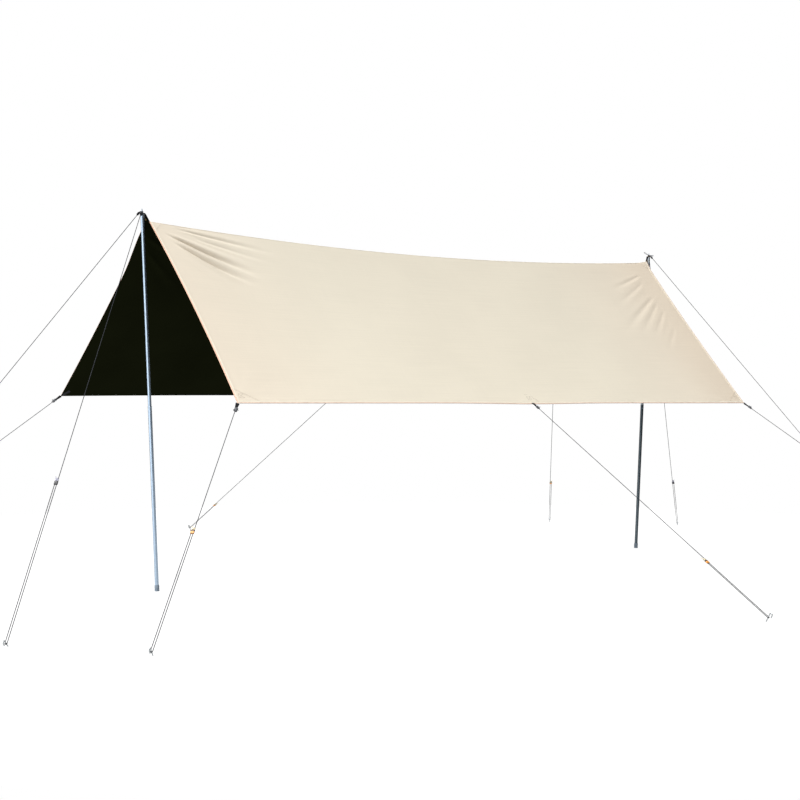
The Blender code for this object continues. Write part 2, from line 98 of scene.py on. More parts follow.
# Tarp, as in the frame
RIDGE_FRONT = np.array((-0.0600, 0.0, 2.357))
RIDGE_BACK = np.array((4.4595, 0.0, 2.352))
NEAR_FRONT = np.array((-0.0075, -1.024, 1.206))
NEAR_BACK = np.array((4.4635, -1.024, 1.198))
FAR_FRONT = np.array((-0.2075, 1.033, 1.244))
FAR_BACK = np.array((4.3875, 1.033, 1.244))
NEAR_MIDDLE_X = 2.29
FAR_MIDDLE_X = 2.052
RIDGE_SAG = 0.086
NEAR_FRONT_BOW = 0.020
FAR_FRONT_BOW = 0.013
SHEET_LENGTH = 4.5
NEAR_SLOPE = 1.54
FAR_SLOPE = 1.52
CLOTH_THICKNESS = 0.0012
RIDGE_ROUND = 0.005

# Small shifts of the tarp from the frame, read from the photograph: a straighter
# back edge, a pulled tip at the back pole, a far edge that stands out below the
# front pole, a near hem drawn to its middle tie and a far hem that lifts
BACK_BOW = 0.018
BACK_TIP_PULL = np.array((0.010, 0.0, 0.010))
BACK_TIP_LENGTH = 0.055
BACK_TIP_WIDTH = 0.045
FAR_EDGE_PUSH = 0.021
FAR_PUSH_RISE = 0.09
FAR_PUSH_FADE = 0.36
FAR_PUSH_LENGTH = 0.50
MIDDLE_TIE_PULL = 0.0065
MIDDLE_TIE_PLACE = 2.31
MIDDLE_TIE_SPREAD = 0.42
FAR_HEM_LIFT = 0.0070
FAR_LIFT_LENGTH = 3.0

# Wire, cord and tabs, as in the frame
WIRE_RADIUS = 0.0035
CORD_RADIUS = 0.0020
TURN_RADIUS = WIRE_RADIUS + TOUCH + CORD_RADIUS
HALF_TURN_STEPS = 12
WEBBING_THICKNESS = 0.0024
TAB_WIDTH = 0.024
TAB_EYE_WIDTH = 0.014
TAB_LENGTH = 0.058
TAB_FOLD_LENGTH = 0.014
TAB_STANDOFF = 0.0012
EYE_RADIUS = CORD_RADIUS + 0.0004
EYELET_OUTER = 0.0085
EYELET_RISE = 0.0020
STRAP_END_RADIUS = 0.0120
STRAP_LIFT = TOUCH + 0.0006
LOOP_STEP = 2 * CORD_RADIUS + 0.0006
STRAND_STEP = 2 * CORD_RADIUS + TOUCH
PIN_LEG = ((0.0, 0.0), (0.010, 0.0), (0.013, 0.0010), (0.016, 0.0034), (0.019, 0.0068))
PIN_LEG_CLOSING = 0.15
TAB_LEG = ((0.009, 0.0025), (0.004, 0.0035), (0.001, 0.0020), (0.0, 0.0))
RUNNER_LENGTH = 0.042
RUNNER_WIDTH = 0.022
RUNNER_THICKNESS = 0.009
PEG_LOOP_HEIGHT = 0.030
PEG_SHAFT_HEIGHT = 0.052
PEG_HOOK_RADIUS = 0.009
PEG_TIP_LENGTH = 0.014

# Eyes of the lines, closed nearer to their ties than in the frame
POLE_EYE_LENGTH = 0.022
HEM_EYE_LENGTH = 0.014

# Guy lines, as in the frame: where each is pegged, how far its adjuster is from
# the peg, and, on a pole, whether its eye is the lower or the upper one
POLE_GUYS = (
    ("front_near", (-1.51, -1.35, 0.0), 0.97, 0),
    ("front_far", (-1.60, 1.32, 0.0), 0.97, 1),
    ("back_near", (6.15, -1.18, 0.0), 0.53, 0),
    ("back_far", (6.15, 1.18, 0.0), 0.53, 1),
)
HEM_GUYS = (
    ("near_front_corner", (-1.043, -2.00, 0.0), 0.80),
    ("near_middle", (2.174, -3.08, 0.0), 0.52),
    ("near_back_corner", (5.60, -2.15, 0.0), 0.70),
    ("far_front_corner", (-1.43, 2.20, 0.0), 0.80),
    ("far_middle", (2.085, 3.42, 0.0), 0.52),
    ("far_back_corner", (5.40, 2.17, 0.0), 0.62),
)

# Adjusters: from and to what height over its lower end a slider or its collar
# reaches, and the middle and the length of the knot over them
POLE_SLIDER = (0.0, 0.0210)
POLE_SLIDER_KNOT = (0.0315, 0.0200)
HEM_SLIDER = (0.0, 0.0150)
HEM_COLLAR = (0.0154, 0.0240)
HEM_SLIDER_KNOT = (0.0330, 0.0180)

# Knots: half width, half thickness, length and cord radius, turns of the cord,
# narrowing, how far past the tie, and the reach of the cut end
POLE_KNOT = ((0.0082, 0.0054, 0.024, 0.0020), 6.0, 0.62, 0.009, 0.008)
HEM_KNOT = ((0.0108, 0.0058, 0.030, 0.0020), 7.5, 0.42, -0.004, 0.014)
LOOP_PLACE = 0.012
LOOP_LEVEL = np.array((0.801, -0.598, 0.0))
LOOP_REACHES = (UP * 0.024 - LOOP_LEVEL * 0.038, LOOP_LEVEL * 0.038 - UP * 0.004)
LOOP_WIDTH = 0.0045
SLIDER_KNOT_WIDTH = 0.0088
SLIDER_KNOT_THICKNESS = 0.0032
SLIDER_KNOT_CORD = 0.0016
SLIDER_KNOT_PITCH = 0.0036

# Folds in metres of cloth: start and end as (from the front, down from the
# ridge), bend sideways, half width at the start and the end, share of the depth
NEAR_FOLDS = (
    ((0.21, 0.044), (0.92, 0.162), -0.004, 0.018, 0.050, 0.68),
    ((0.31, 0.117), (0.82, 0.262), 0.000, 0.020, 0.048, 0.46),
    ((0.105, 0.121), (0.70, 0.425), 0.006, 0.020, 0.070, 1.95),
    ((0.125, 0.195), (0.60, 0.505), 0.020, 0.018, 0.056, 1.70),
    ((0.12, 0.330), (0.42, 0.640), 0.010, 0.026, 0.060, 0.20),
    ((4.32, 0.156), (3.88, 0.315), 0.004, 0.022, 0.052, 0.28),
    ((4.29, 0.247), (3.80, 0.510), 0.004, 0.026, 0.060, 0.21),
    ((4.31, 0.405), (3.68, 0.830), -0.006, 0.026, 0.070, 0.31),
    ((4.31, 0.474), (3.88, 0.835), 0.004, 0.022, 0.054, 0.22),
    ((4.33, 0.560), (4.03, 0.840), 0.004, 0.020, 0.046, 0.26),
    ((4.32, 0.750), (4.08, 0.985), 0.002, 0.020, 0.044, 0.22),
)
FAR_FOLDS = (
    ((0.09, 0.060), (0.74, 0.200), 0.008, 0.018, 0.050, 0.60),
    ((0.07, 0.125), (0.62, 0.350), 0.024, 0.026, 0.080, 0.90),
    ((0.10, 0.240), (0.52, 0.570), 0.012, 0.026, 0.070, 0.60),
    ((4.40, 0.115), (3.96, 0.290), 0.008, 0.020, 0.055, 0.70),
    ((4.39, 0.230), (3.78, 0.590), 0.012, 0.024, 0.075, 0.90),
    ((4.36, 0.410), (3.94, 0.810), 0.008, 0.022, 0.060, 0.50),
)
# Small wrinkles that fan out from a tie: place on the sheet, first and last
# direction in degrees from +x towards the ridge, number and length
WRINKLE_FANS = (
    ((0.02, -1.52), 14.0, 80.0, 5, 0.42),
    ((2.31, -1.52), 28.0, 152.0, 6, 0.34),
    ((4.48, -1.52), 100.0, 166.0, 5, 0.42),
    ((0.02, 1.50), 14.0, 80.0, 5, 0.42),
    ((2.12, 1.50), 28.0, 152.0, 6, 0.34),
    ((4.48, 1.50), 100.0, 166.0, 5, 0.42),
)
WRINKLE_START = 0.05
WRINKLE_SHARE = 0.10
# Broad waves: share of the height, length along and across, start of the wave
WAVES = (
    (0.50, 2.3, 3.9, 0.5),
    (0.30, 1.1, -1.7, 2.1),
    (0.20, 0.62, 0.9, 4.0),
)

# Edges: a rolled piping, a flat tape beside it and a dark band under both
GABLE_PIPING = 0.0055
HEM_PIPING = 0.0080
GABLE_TAPE = 0.0160
HEM_TAPE = 0.0190
TAPE_LIFT = 0.0019
GABLE_LIFT = 0.0003
RIDGE_SEAM = 0.0080
SEAM_LIFT = 0.0008
SEAM_STEPS = (-1.0, -0.8, -0.45, -0.2, 0.0, 0.2, 0.45, 0.8, 1.0)
SUNK = -0.0002
# Edges of the sheet: start, end and outward direction in metres of cloth, steps
EDGES = (
    ("near_hem", (0.0, -NEAR_SLOPE), (SHEET_LENGTH, -NEAR_SLOPE), (0.0, -1.0), 220),
    ("far_hem", (0.0, FAR_SLOPE), (SHEET_LENGTH, FAR_SLOPE), (0.0, 1.0), 220),
    ("front_gable", (0.0, -NEAR_SLOPE), (0.0, FAR_SLOPE), (-1.0, 0.0), 160),
    ("back_gable", (SHEET_LENGTH, -NEAR_SLOPE), (SHEET_LENGTH, FAR_SLOPE), (1.0, 0.0), 160),
)

# Reinforcement patches: name and outline in metres of cloth
PATCHES = (
    ("near_front_corner", ((0.0, -1.532), (0.177, -1.532), (0.0, -1.413), (0.0, -1.413))),
    ("near_middle", ((2.205, -1.532), (2.395, -1.532), (2.330, -1.442), (2.270, -1.442))),
    ("near_back_corner", ((4.5, -1.532), (4.323, -1.532), (4.5, -1.413), (4.5, -1.413))),
    ("far_front_corner", ((0.0, 1.520), (0.177, 1.520), (0.0, 1.393), (0.0, 1.393))),
    ("far_middle", ((2.025, 1.520), (2.215, 1.520), (2.150, 1.422), (2.090, 1.422))),
    ("far_back_corner", ((4.5, 1.520), (4.323, 1.520), (4.5, 1.393), (4.5, 1.393))),
    ("front_ridge_near", ((0.0, -0.006), (0.086, -0.006), (0.0, -0.103), (0.0, -0.103))),
    ("front_ridge_far", ((0.0, 0.006), (0.086, 0.006), (0.0, 0.103), (0.0, 0.103))),
    ("back_ridge_near", ((4.5, -0.006), (4.414, -0.006), (4.5, -0.103), (4.5, -0.103))),
    ("back_ridge_far", ((4.5, 0.006), (4.414, 0.006), (4.5, 0.103), (4.5, 0.103))),
)
PATCH_LIFT = 0.0008

# Stitches, and their distance in from the edge that they follow
STITCH_PITCH = 0.006
STITCH_LENGTH = 0.0042
STITCH_RADIUS = 0.0008
HEM_INSETS = (0.0105, 0.0180)
GABLE_INSETS = (0.0085, 0.0160)
RIDGE_PATCH_INSETS = (0.004,)
HEM_PATCH_INSETS = (0.003, 0.009)
SEAM_ROW_PLACE = 0.0062
ROW_END = 0.02
PATCH_ROW_END = 0.014
BOX_HALF = 0.016
BOX_PLACES = (
    (0.045, -1.484),
    (2.312, -1.484),
    (4.455, -1.484),
    (0.045, 1.464),
    (2.120, 1.464),
    (4.455, 1.464),
)

# Camera at the photograph's angle
CAMERA_PLACE = (-4.1695, -8.17, 1.259)
CAMERA_YAW = math.radians(36.75)
CAMERA_PITCH = math.radians(0.23)
CAMERA_ROLL = 0.002
LENS = 63.8
SENSOR = 36.0

# Lamps, where each stands and what it points at
KEY_PLACE = (-1.25, 0.50, 5.0)
KEY_TARGET = (0.0, 0.0, 0.2)
PANEL_PLACE = (-3.45, -0.50, 2.31)
PANEL_TARGET = (0.0, 0.0, 2.31)
PANEL_WIDTH = 7.0
PANEL_HEIGHT = 4.6
FLOOR_MIDDLE = (2.2, 0.0, 0.0)
GLOW_UP = 0.90
GLOW_LEFT = 0.42
GLOW_TO_CAMERA = 0.10


def linear(levels):
    """Scene colour of a display colour from 0 to 255."""
    shares = (level / 255.0 for level in levels)
    return tuple(s / 12.92 if s <= 0.04045 else ((s + 0.055) / 1.055) ** 2.4 for s in shares)


def colour_setting(name, description, *levels):
    return FloatVectorProperty(
        name=name, description=description, subtype="COLOR", size=3, min=0.0, max=1.0, default=linear(levels)
    )


def length_setting(name, description, default):
    return FloatProperty(
        name=name,
        description=description,
        subtype="DISTANCE",
        unit="LENGTH",
        min=0.0,
        precision=5,
        default=default,
    )


class ClothSettings(bpy.types.PropertyGroup):
    """Sheet of tarp cloth."""

    face_colour: colour_setting("Face", "Colour of the cloth's outer face", 222, 214, 196)
    lining_colour: colour_setting("Lining", "Colour of the coating under the cloth", 16, 18, 8)
    fold_depth: length_setting("Fold depth", "Depth of the deepest fold", 0.0085)
    wave_height: length_setting("Wave height", "Height of the broad waves in the cloth", 0.0040)
    yarn_pitch: length_setting("Yarn pitch", "Distance between two yarns of the weave", 0.0012)
    cell_size: length_setting("Cell size", "Finest cell of the sheet, where the folds are narrow", 0.0050)
    belly: length_setting("Belly", "How far the wind presses each slope in at its middle", 0.0100)


class TrimSettings(bpy.types.PropertyGroup):
    """Piping, tape, patches, thread and webbing."""

    piping_colour: colour_setting("Piping", "Colour of the rolled gable edges", 222, 180, 154)
    hem_piping_colour: colour_setting("Hem piping", "Colour of the rolled hems", 236, 210, 190)
    # Partly the tape's own colour and partly a painted highlight: its cream is lighter than the cloth, for
    # the light on the raised edge
    tape_painted_highlight_colour: colour_setting("Tape", "Colour of the tape beside the piping", 236, 228, 210)
    patch_colour: colour_setting("Patch", "Colour of the corner patches", 223, 215, 197)
    thread_colour: colour_setting("Thread", "Colour of the sewing thread", 214, 202, 180)
    # Partly the thread's colour and partly a painted shade: the dark brown stands for the shade along the
    # folded edges of the patches
    patch_thread_colour: colour_setting("Patch thread", "Colour of the patch stitches", 104, 80, 58)
    dark_thread_colour: colour_setting("Dark thread", "Colour of the box stitches", 78, 54, 36)
    webbing_colour: colour_setting("Webbing", "Colour of the straps and tabs", 10, 12, 18)
    webbing_rib: length_setting("Webbing rib", "Distance between two ribs of the webbing", 0.0016)


class PoleSettings(bpy.types.PropertyGroup):
    """Steel poles, their feet, and the wire of the pegs."""

    steel_colour: colour_setting("Steel", "Colour of the galvanised tubes", 166, 184, 202)
    shaded_steel_colour: colour_setting("Shaded steel", "The back tube, in the sheet's shade", 88, 98, 104)
    # Painted highlight: the back pole's upper tube and tip are coloured brighter than the steel
    painted_highlight_steel_colour: colour_setting("Bright steel", "The top of the back pole", 226, 236, 246)
    foot_colour: colour_setting("Foot", "Colour of the grey rubber feet", 118, 130, 142)
    peg_colour: colour_setting("Peg", "Colour of the zinc wire pegs", 178, 182, 184)
    brass_colour: colour_setting("Brass", "Colour of the eyelets", 222, 178, 96)
    spangle_size: length_setting("Spangle size", "Size of the zinc's crystals", 0.009)


class CordSettings(bpy.types.PropertyGroup):
    """Guy lines and their adjusters."""

    cord_colour: colour_setting("Cord", "Colour of the guy lines", 46, 48, 52)
    knot_colour: colour_setting("Eye knots", "Colour of the knots at the front pole", 30, 30, 33)
    # On the back pole's knots this paler grey is a painted highlight
    tie_knot_colour: colour_setting("Tie knots", "Colour of the other knots", 116, 118, 122)
    # Painted highlight: the back pole's loops are paler than the cord
    loop_painted_highlight_colour: colour_setting("Loops", "Colour of the loops at the back pole", 170, 172, 178)
    fleck_colour: colour_setting("Fleck", "Colour of the tracer yarn in the lines", 28, 30, 33)
    pole_knot_colour: colour_setting("Pole knots", "Knots over the dark adjusters", 170, 170, 184)
    # Painted highlight: the cream stands for the light on the top of the hem adjusters
    hem_knot_colour: colour_setting("Hem knots", "Knots over the amber adjusters", 226, 214, 184)
    dark_plastic_colour: colour_setting("Dark plastic", "Adjusters of the poles", 24, 24, 27)
    amber_plastic_colour: colour_setting("Amber plastic", "Adjusters of the hems", 214, 140, 50)
    braid_pitch: length_setting("Braid pitch", "Length of one diamond of the braid", 0.0021)


class StageSettings(bpy.types.PropertyGroup):
    """Floor and light."""

    floor_colour: colour_setting("Floor", "Colour of the floor", 92, 92, 92)
    overhead_light: FloatProperty(
        name="Overhead light",
        description="Strength of the broad glow above and to the left",
        min=0.0,
        default=0.68,
    )
    low_light: FloatProperty(
        name="Low light", description="Strength of the glow from everywhere else", min=0.0, default=0.07
    )
    key_strength: FloatProperty(
        name="Key strength",
        description="Strength of the large soft light over the ridge",
        min=0.0,
        default=3.64,
    )
    key_spread: FloatProperty(
        name="Key spread",
        description="Angle that the large soft light fills in the sky",
        subtype="ANGLE",
        unit="ROTATION",
        min=0.0,
        default=math.radians(26.0),
    )
    panel_power: FloatProperty(
        name="Panel power",
        description="Power of the wide low panel that lights the poles and the front",
        subtype="POWER",
        unit="POWER",
        min=0.0,
        default=208.0,
    )
    floor_radius: length_setting("Floor radius", "Radius of the round floor", 6.0)


SETTINGS = (
    ("tent_cloth", ClothSettings),
    ("tent_trim", TrimSettings),
    ("tent_poles", PoleSettings),
    ("tent_cords", CordSettings),
    ("tent_stage", StageSettings),
)


class Wire:
    """Output of a shader node that takes part in Python arithmetic."""

    def __init__(self, graph, socket):
        self.graph = graph
        self.socket = socket

    def maths(self, operation, *values):
        return self.graph.node("ShaderNodeMath", {"operation": operation}, dict(enumerate(values)))

    def __add__(self, other):
        return self.maths("ADD", self, other)

    def __sub__(self, other):
        return self.maths("SUBTRACT", self, other)

    def __rsub__(self, other):
        return self.maths("SUBTRACT", other, self)

    def __mul__(self, other):
        return self.maths("MULTIPLY", self, other)

    def __abs__(self):
        return self.maths("ABSOLUTE", self)


class Graph:
    """Nodes of one material or of the world."""

    def __init__(self, owner):
        owner.use_nodes = True
        self.nodes = owner.node_tree.nodes
        self.links = owner.node_tree.links

    def feed(self, socket, value):
        if isinstance(value, Wire):
            self.links.new(value.socket, socket)
        elif socket.type == "RGBA" and len(value) == 3:
            socket.default_value = (*value, 1.0)
        else:
            socket.default_value = value

    def node(self, kind, settings, sockets, output=0):
        """Makes any node: its settings first, then the values or links of its sockets."""
        made = self.nodes.new(kind)
        for name, value in settings.items():
            setattr(made, name, value)
        for name, value in sockets.items():
            self.feed(made.inputs[name], value)
        return Wire(self, made.outputs[output])

    def wave(self, angle):
        return self.node("ShaderNodeMath", {"operation": "SINE"}, {0: angle})

    def held(self, value, low, high, new_low=0.0, new_high=1.0):
        """Carries a range over to another one and holds it inside."""
        settings = {"clamp": True, "interpolation_type": "SMOOTHSTEP"}
        return self.node("ShaderNodeMapRange", settings, {0: value, 1: low, 2: high, 3: new_low, 4: new_high})

    def stretched(self, place, factors):
        return self.node("ShaderNodeVectorMath", {"operation": "MULTIPLY"}, {0: place, 1: factors})

    def noise(self, place, scale, detail):
        return self.node("ShaderNodeTexNoise", {}, {"Vector": place, "Scale": scale, "Detail": detail})

    def mixed(self, factor, first, second, blend="MIX"):
        settings = {"data_type": "RGBA", "blend_type": blend}
        return self.node("ShaderNodeMix", settings, {0: factor, 6: first, 7: second}, 2)

    def shades(self, factor, colour, first, second):
        """Two shades of one colour, mixed."""
        return self.mixed(factor, shade(colour, first), shade(colour, second))

    def part_of(self, place, axis):
        return self.node("ShaderNodeSeparateXYZ", {}, {0: place}, axis)


class Finish(Graph):
    """Material of one surface, with a map of that surface in metres."""

    def __init__(self, name, constants):
        self.material = bpy.data.materials.new(name)
        super().__init__(self.material)
        self.shader = self.nodes["Principled BSDF"]
        for socket, value in constants.items():
            self.feed(self.shader.inputs[socket], value)
        self.map = self.node("ShaderNodeUVMap", {"uv_map": "metres"}, {})
        self.along = self.part_of(self.map, 0)
        self.around = self.part_of(self.map, 1)
        self.place = self.node("ShaderNodeTexCoord", {}, {}, "Object")

    def colour(self, value):
        self.feed(self.shader.inputs["Base Color"], value)

    def roughness(self, value):
        self.feed(self.shader.inputs["Roughness"], value)

    def relief(self, height):
        """Bump of a height in metres."""
        sockets = {"Height": height, "Strength": 1.0, "Distance": 1.0}
        self.feed(self.shader.inputs["Normal"], self.node("ShaderNodeBump", {}, sockets))


def shade(colour, factor):
    """A colour made lighter or darker."""
    return tuple(min(channel * factor, 1.0) for channel in colour)


def kept(name, maker, *settings):
    """The material of that name, made at its first use."""
    return bpy.data.materials.get(name) or maker(name, *settings)


# Finishes

# Painted shade on the cloth, warmer and darker towards both gables and darker
# again at the back gable: from and to what distance from the middle, or place
# from the front, each comes in
PAINTED_SHADE_MIDDLE = 2.1
GABLE_PAINTED_SHADE = (1.0, 0.948, 0.938)
GABLE_PAINTED_SHADE_REACH = (0.9, 2.5)
BACK_PAINTED_SHADE = (0.955, 0.925, 0.900)
BACK_PAINTED_SHADE_REACH = (3.90, 4.46)
TWILL_PITCH = 0.0014
TWIST_PITCH = 0.0010
FLOOR_GLOW = (0.985, 0.985, 0.985)


def woven_cloth(name, colour, pitch):
    """Plain weave with faint streaks along the weft, and a painted shade that turns it warmer and darker
    towards both gables.
    """
    finish = Finish(name, {"Roughness": 0.78, "Specular IOR Level": 0.25, "Sheen Weight": 0.08})
    turn = 2.0 * math.pi / pitch
    weave = finish.wave(finish.along * turn) * finish.wave(finish.around * turn)
    streaks = finish.noise(finish.stretched(finish.map, (2.2, 150.0, 1.0)), 1.0, 2.0)
    slubs = finish.noise(finish.stretched(finish.map, (160.0, 2.5, 1.0)), 1.0, 1.0)
    mottle = finish.noise(finish.map, 2.4, 3.0)
    tone = finish.held(streaks * 0.5 + mottle * 0.35 + slubs * 0.15, 0.36, 0.64)
    cloth = finish.shades(tone, colour, 0.972, 1.022)
    # Painted shade: the cloth turns warmer and darker towards both gables, and darker again at the back gable
    gable_shade_mask = finish.held(abs(finish.along - PAINTED_SHADE_MIDDLE), *GABLE_PAINTED_SHADE_REACH)
    cloth = finish.mixed(gable_shade_mask, cloth, GABLE_PAINTED_SHADE, "MULTIPLY")
    back_gable_shade_mask = finish.held(finish.along, *BACK_PAINTED_SHADE_REACH)
    cloth = finish.mixed(back_gable_shade_mask, cloth, BACK_PAINTED_SHADE, "MULTIPLY")
    yarn = weave * 0.5 + 0.5
    finish.colour(finish.mixed(yarn * 0.5, cloth, shade(colour, 0.93)))
    crumple = finish.noise(finish.stretched(finish.map, (9.0, 14.0, 1.0)), 1.0, 3.0)
    finish.relief(weave * 0.000012 + crumple * 0.0011 + streaks * 0.00004)
    return finish.material


def coated_lining(name, colour):
    """Dark coating that lies in the valleys of the weave."""
    finish = Finish(name, {"Specular IOR Level": 0.0})
    cloud = finish.noise(finish.map, 3.0, 4.0)
    crumple = finish.noise(finish.stretched(finish.map, (7.0, 11.0, 1.0)), 1.0, 3.0)
    finish.colour(finish.shades(cloud, colour, 0.75, 1.35))
    finish.roughness(finish.held(cloud, 0.3, 0.7, 0.55, 0.72))
    finish.relief(crumple * 0.0014)
    return finish.material


def twill_tape(name, colour):
    """Narrow tape with a slanting twill."""
    finish = Finish(name, {"Roughness": 0.70, "Sheen Weight": 0.10})
    turn = 2.0 * math.pi / TWILL_PITCH
    twill = finish.wave((finish.along + finish.around) * turn)
    wear = finish.noise(finish.map, 60.0, 2.0)
    finish.colour(finish.shades(twill * 0.2 + wear * 0.5, colour, 0.92, 1.04))
    finish.relief(twill * 0.00003)
    return finish.material


def twisted_thread(name, colour):
    """Thread of two twisted yarns."""
    finish = Finish(name, {"Roughness": 0.60, "Sheen Weight": 0.15})
    turn = 2.0 * math.pi / TWIST_PITCH
    twist = finish.wave((finish.along + finish.around * 2.0) * turn)
    finish.colour(finish.shades(twist * 0.5 + 0.5, colour, 0.82, 1.08))
    finish.relief(twist * 0.00002)
    return finish.material


def ribbed_webbing(name, colour, rib):
    """Heavy webbing with ribs across and a firm edge."""
    finish = Finish(name, {"Specular IOR Level": 0.25, "Sheen Weight": 0.04})
    turn = 2.0 * math.pi / rib
    ribs = finish.wave(finish.along * turn)
    weave = ribs * finish.wave(finish.around * (turn * 1.3))
    fluff = finish.noise(finish.map, 400.0, 2.0)
    finish.colour(finish.shades(weave * 0.25 + fluff * 0.6, colour, 0.6, 1.7))
    finish.roughness(finish.held(fluff, 0.3, 0.7, 0.70, 0.88))
    finish.relief(weave * 0.00007 + ribs * 0.00005)
    return finish.material


def galvanised_steel(name, colour, spangle):
    """Drawn tube with zinc crystals, fine draw lines and a few scuffs."""
    finish = Finish(name, {"Metallic": 1.0})
    sockets = {"Vector": finish.stretched(finish.map, (0.6, 1.0, 1.0)), "Scale": 1.0 / spangle}
    crystal = finish.part_of(finish.node("ShaderNodeTexVoronoi", {"feature": "F1"}, sockets, "Color"), 0)
    lines = finish.noise(finish.stretched(finish.map, (3.0, 900.0, 1.0)), 1.0, 2.0)
    scuffs = finish.held(finish.noise(finish.place, 38.0, 4.0), 0.60, 0.72)
    metal = finish.shades(crystal * 0.20 + lines * 0.60 + 0.10, colour, 0.80, 1.12)
    finish.colour(finish.mixed(scuffs * 0.35, metal, shade(colour, 0.62)))
    finish.roughness(crystal * 0.03 + lines * 0.05 + scuffs * 0.08 + 0.32)
    finish.relief(lines * 0.000006 + scuffs * 0.000015)
    return finish.material


def zinc_wire(name, colour):
    """Bent wire with the marks of the bending pins."""
    finish = Finish(name, {"Metallic": 1.0})
    marks = finish.noise(finish.place, 190.0, 4.0)
    finish.colour(finish.shades(marks, colour, 0.62, 1.15))
    finish.roughness(finish.held(marks, 0.3, 0.7, 0.30, 0.52))
    finish.relief(marks * 0.00008)
    return finish.material


def rolled_brass(name, colour):
    """Pressed brass, dull in places."""
    finish = Finish(name, {"Metallic": 1.0})
    tarnish = finish.noise(finish.place, 260.0, 3.0)
    finish.colour(finish.shades(tarnish, colour, 0.66, 1.10))
    finish.roughness(finish.held(tarnish, 0.3, 0.7, 0.22, 0.42))
    return finish.material


def moulded_rubber(name, colour):
    """Rubber with dust in its grain."""
    finish = Finish(name, {"Specular IOR Level": 0.30})
    dust = finish.held(finish.noise(finish.place, 70.0, 3.0), 0.45, 0.75)
    finish.colour(finish.shades(dust * 0.25, colour, 1.0, 1.6))
    finish.roughness(dust * 0.15 + 0.68)
    finish.relief(finish.noise(finish.place, 900.0, 2.0) * 0.00008)
    return finish.material


def moulded_plastic(name, colour, gloss):
    """Moulded plastic with a fine mould grain and rubbed places."""
    finish = Finish(name, {"Specular IOR Level": 0.45})
    rubbed = finish.noise(finish.place, 120.0, 3.0)
    finish.colour(finish.shades(rubbed, colour, 0.88, 1.12))
    finish.roughness(finish.held(rubbed, 0.3, 0.7, gloss, gloss + 0.15))
    finish.relief(finish.noise(finish.place, 1400.0, 2.0) * 0.00002)
    return finish.material


def braided_cord(name, colour, cords):
    """Braid of crossing yarns, one of them dark."""
    finish = Finish(name, {"Roughness": 0.80, "Specular IOR Level": 0.15})
    turn = 2.0 * math.pi / cords.braid_pitch
    rising = finish.along + finish.around
    right = finish.wave((finish.along - finish.around) * (turn / 2.0))
    plait = finish.wave(rising * (turn / 2.0)) * right
    dark = finish.held(finish.wave(rising * (turn / 6.0)) + right * 0.35, 0.45, 0.95)
    body = finish.shades(plait * 0.5 + 0.5, colour, 0.80, 1.25)
    finish.colour(finish.mixed(dark * 0.8, body, cords.fleck_colour))
    finish.relief(plait * 0.00014)
    return finish.material


def pale_floor(name, colour):
    """Smooth floor that reads as the white of a studio."""
    finish = Finish(name, {"Roughness": 0.9, "Specular IOR Level": 0.0, "Emission Strength": 1.0})
    finish.feed(finish.shader.inputs["Emission Color"], FLOOR_GLOW)
    finish.colour(finish.shades(finish.noise(finish.place, 0.4, 2.0), colour, 0.985, 1.0))
    return finish.material


# Shapes

def unit(vector):
    return vector / np.linalg.norm(vector, axis=-1, keepdims=True)


def square_to(direction):
    """Two directions square to a third and to each other."""
    helper = ACROSS if abs(direction[1]) < 0.9 else ALONG
    first = unit(np.cross(helper, direction))
    return first, np.cross(direction, first)


def circle(first, second, sides):
    """Directions round the plane of two others."""
    angles = 2.0 * np.pi * np.arange(sides) / sides
    return np.outer(np.cos(angles), first) + np.outer(np.sin(angles), second)


def half_turn(steps):
    """Sine and cosine at the steps of half a turn."""
    angles = [math.pi * i / steps for i in range(steps + 1)]
    return [(math.sin(angle), math.cos(angle)) for angle in angles]


def softened(points, rounds=2):
    """Cuts the corners of a run of points and keeps its ends."""
    run = np.asarray(points, float)
    for _ in range(rounds):
        early = run[:-1] * 0.75 + run[1:] * 0.25
        late = run[:-1] * 0.25 + run[1:] * 0.75
        pairs = np.stack((early, late), axis=1).reshape(-1, run.shape[1])
        run = np.vstack((run[:1], pairs[1:-1], run[-1:]))
    return run


def lengths_along(points):
    steps = np.linalg.norm(np.diff(points, axis=0), axis=1)
    return np.concatenate(([0.0], np.cumsum(steps))).tolist()


def set_up(*columns):
    """Matrix of three axes and a place."""
    rows = np.stack(columns, axis=1).tolist()
    return Matrix((*rows, (0.0, 0.0, 0.0, 1.0)))


def linked(name, data):
    """New object in the scene."""
    made = bpy.data.objects.new(name, data)
    bpy.context.scene.collection.objects.link(made)
    return made


def dressed(name, mesh, angle, materials, nodes, body):
    """Cleans a mesh and makes it a piece that rides on a body and stands for nodes."""
    bm = bmesh.new()
    bm.from_mesh(mesh)
    bmesh.ops.remove_doubles(bm, verts=bm.verts, dist=1e-6)
    bmesh.ops.recalc_face_normals(bm, faces=bm.faces)
    bm.to_mesh(mesh)
    bm.free()
    mesh.shade_smooth()
    mesh.set_sharp_from_angle(angle=math.radians(angle))
    for material in materials:
        mesh.materials.append(material)
    piece = linked(name, mesh)
    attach(piece, body)
    if nodes:
        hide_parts(*nodes)
    return piece


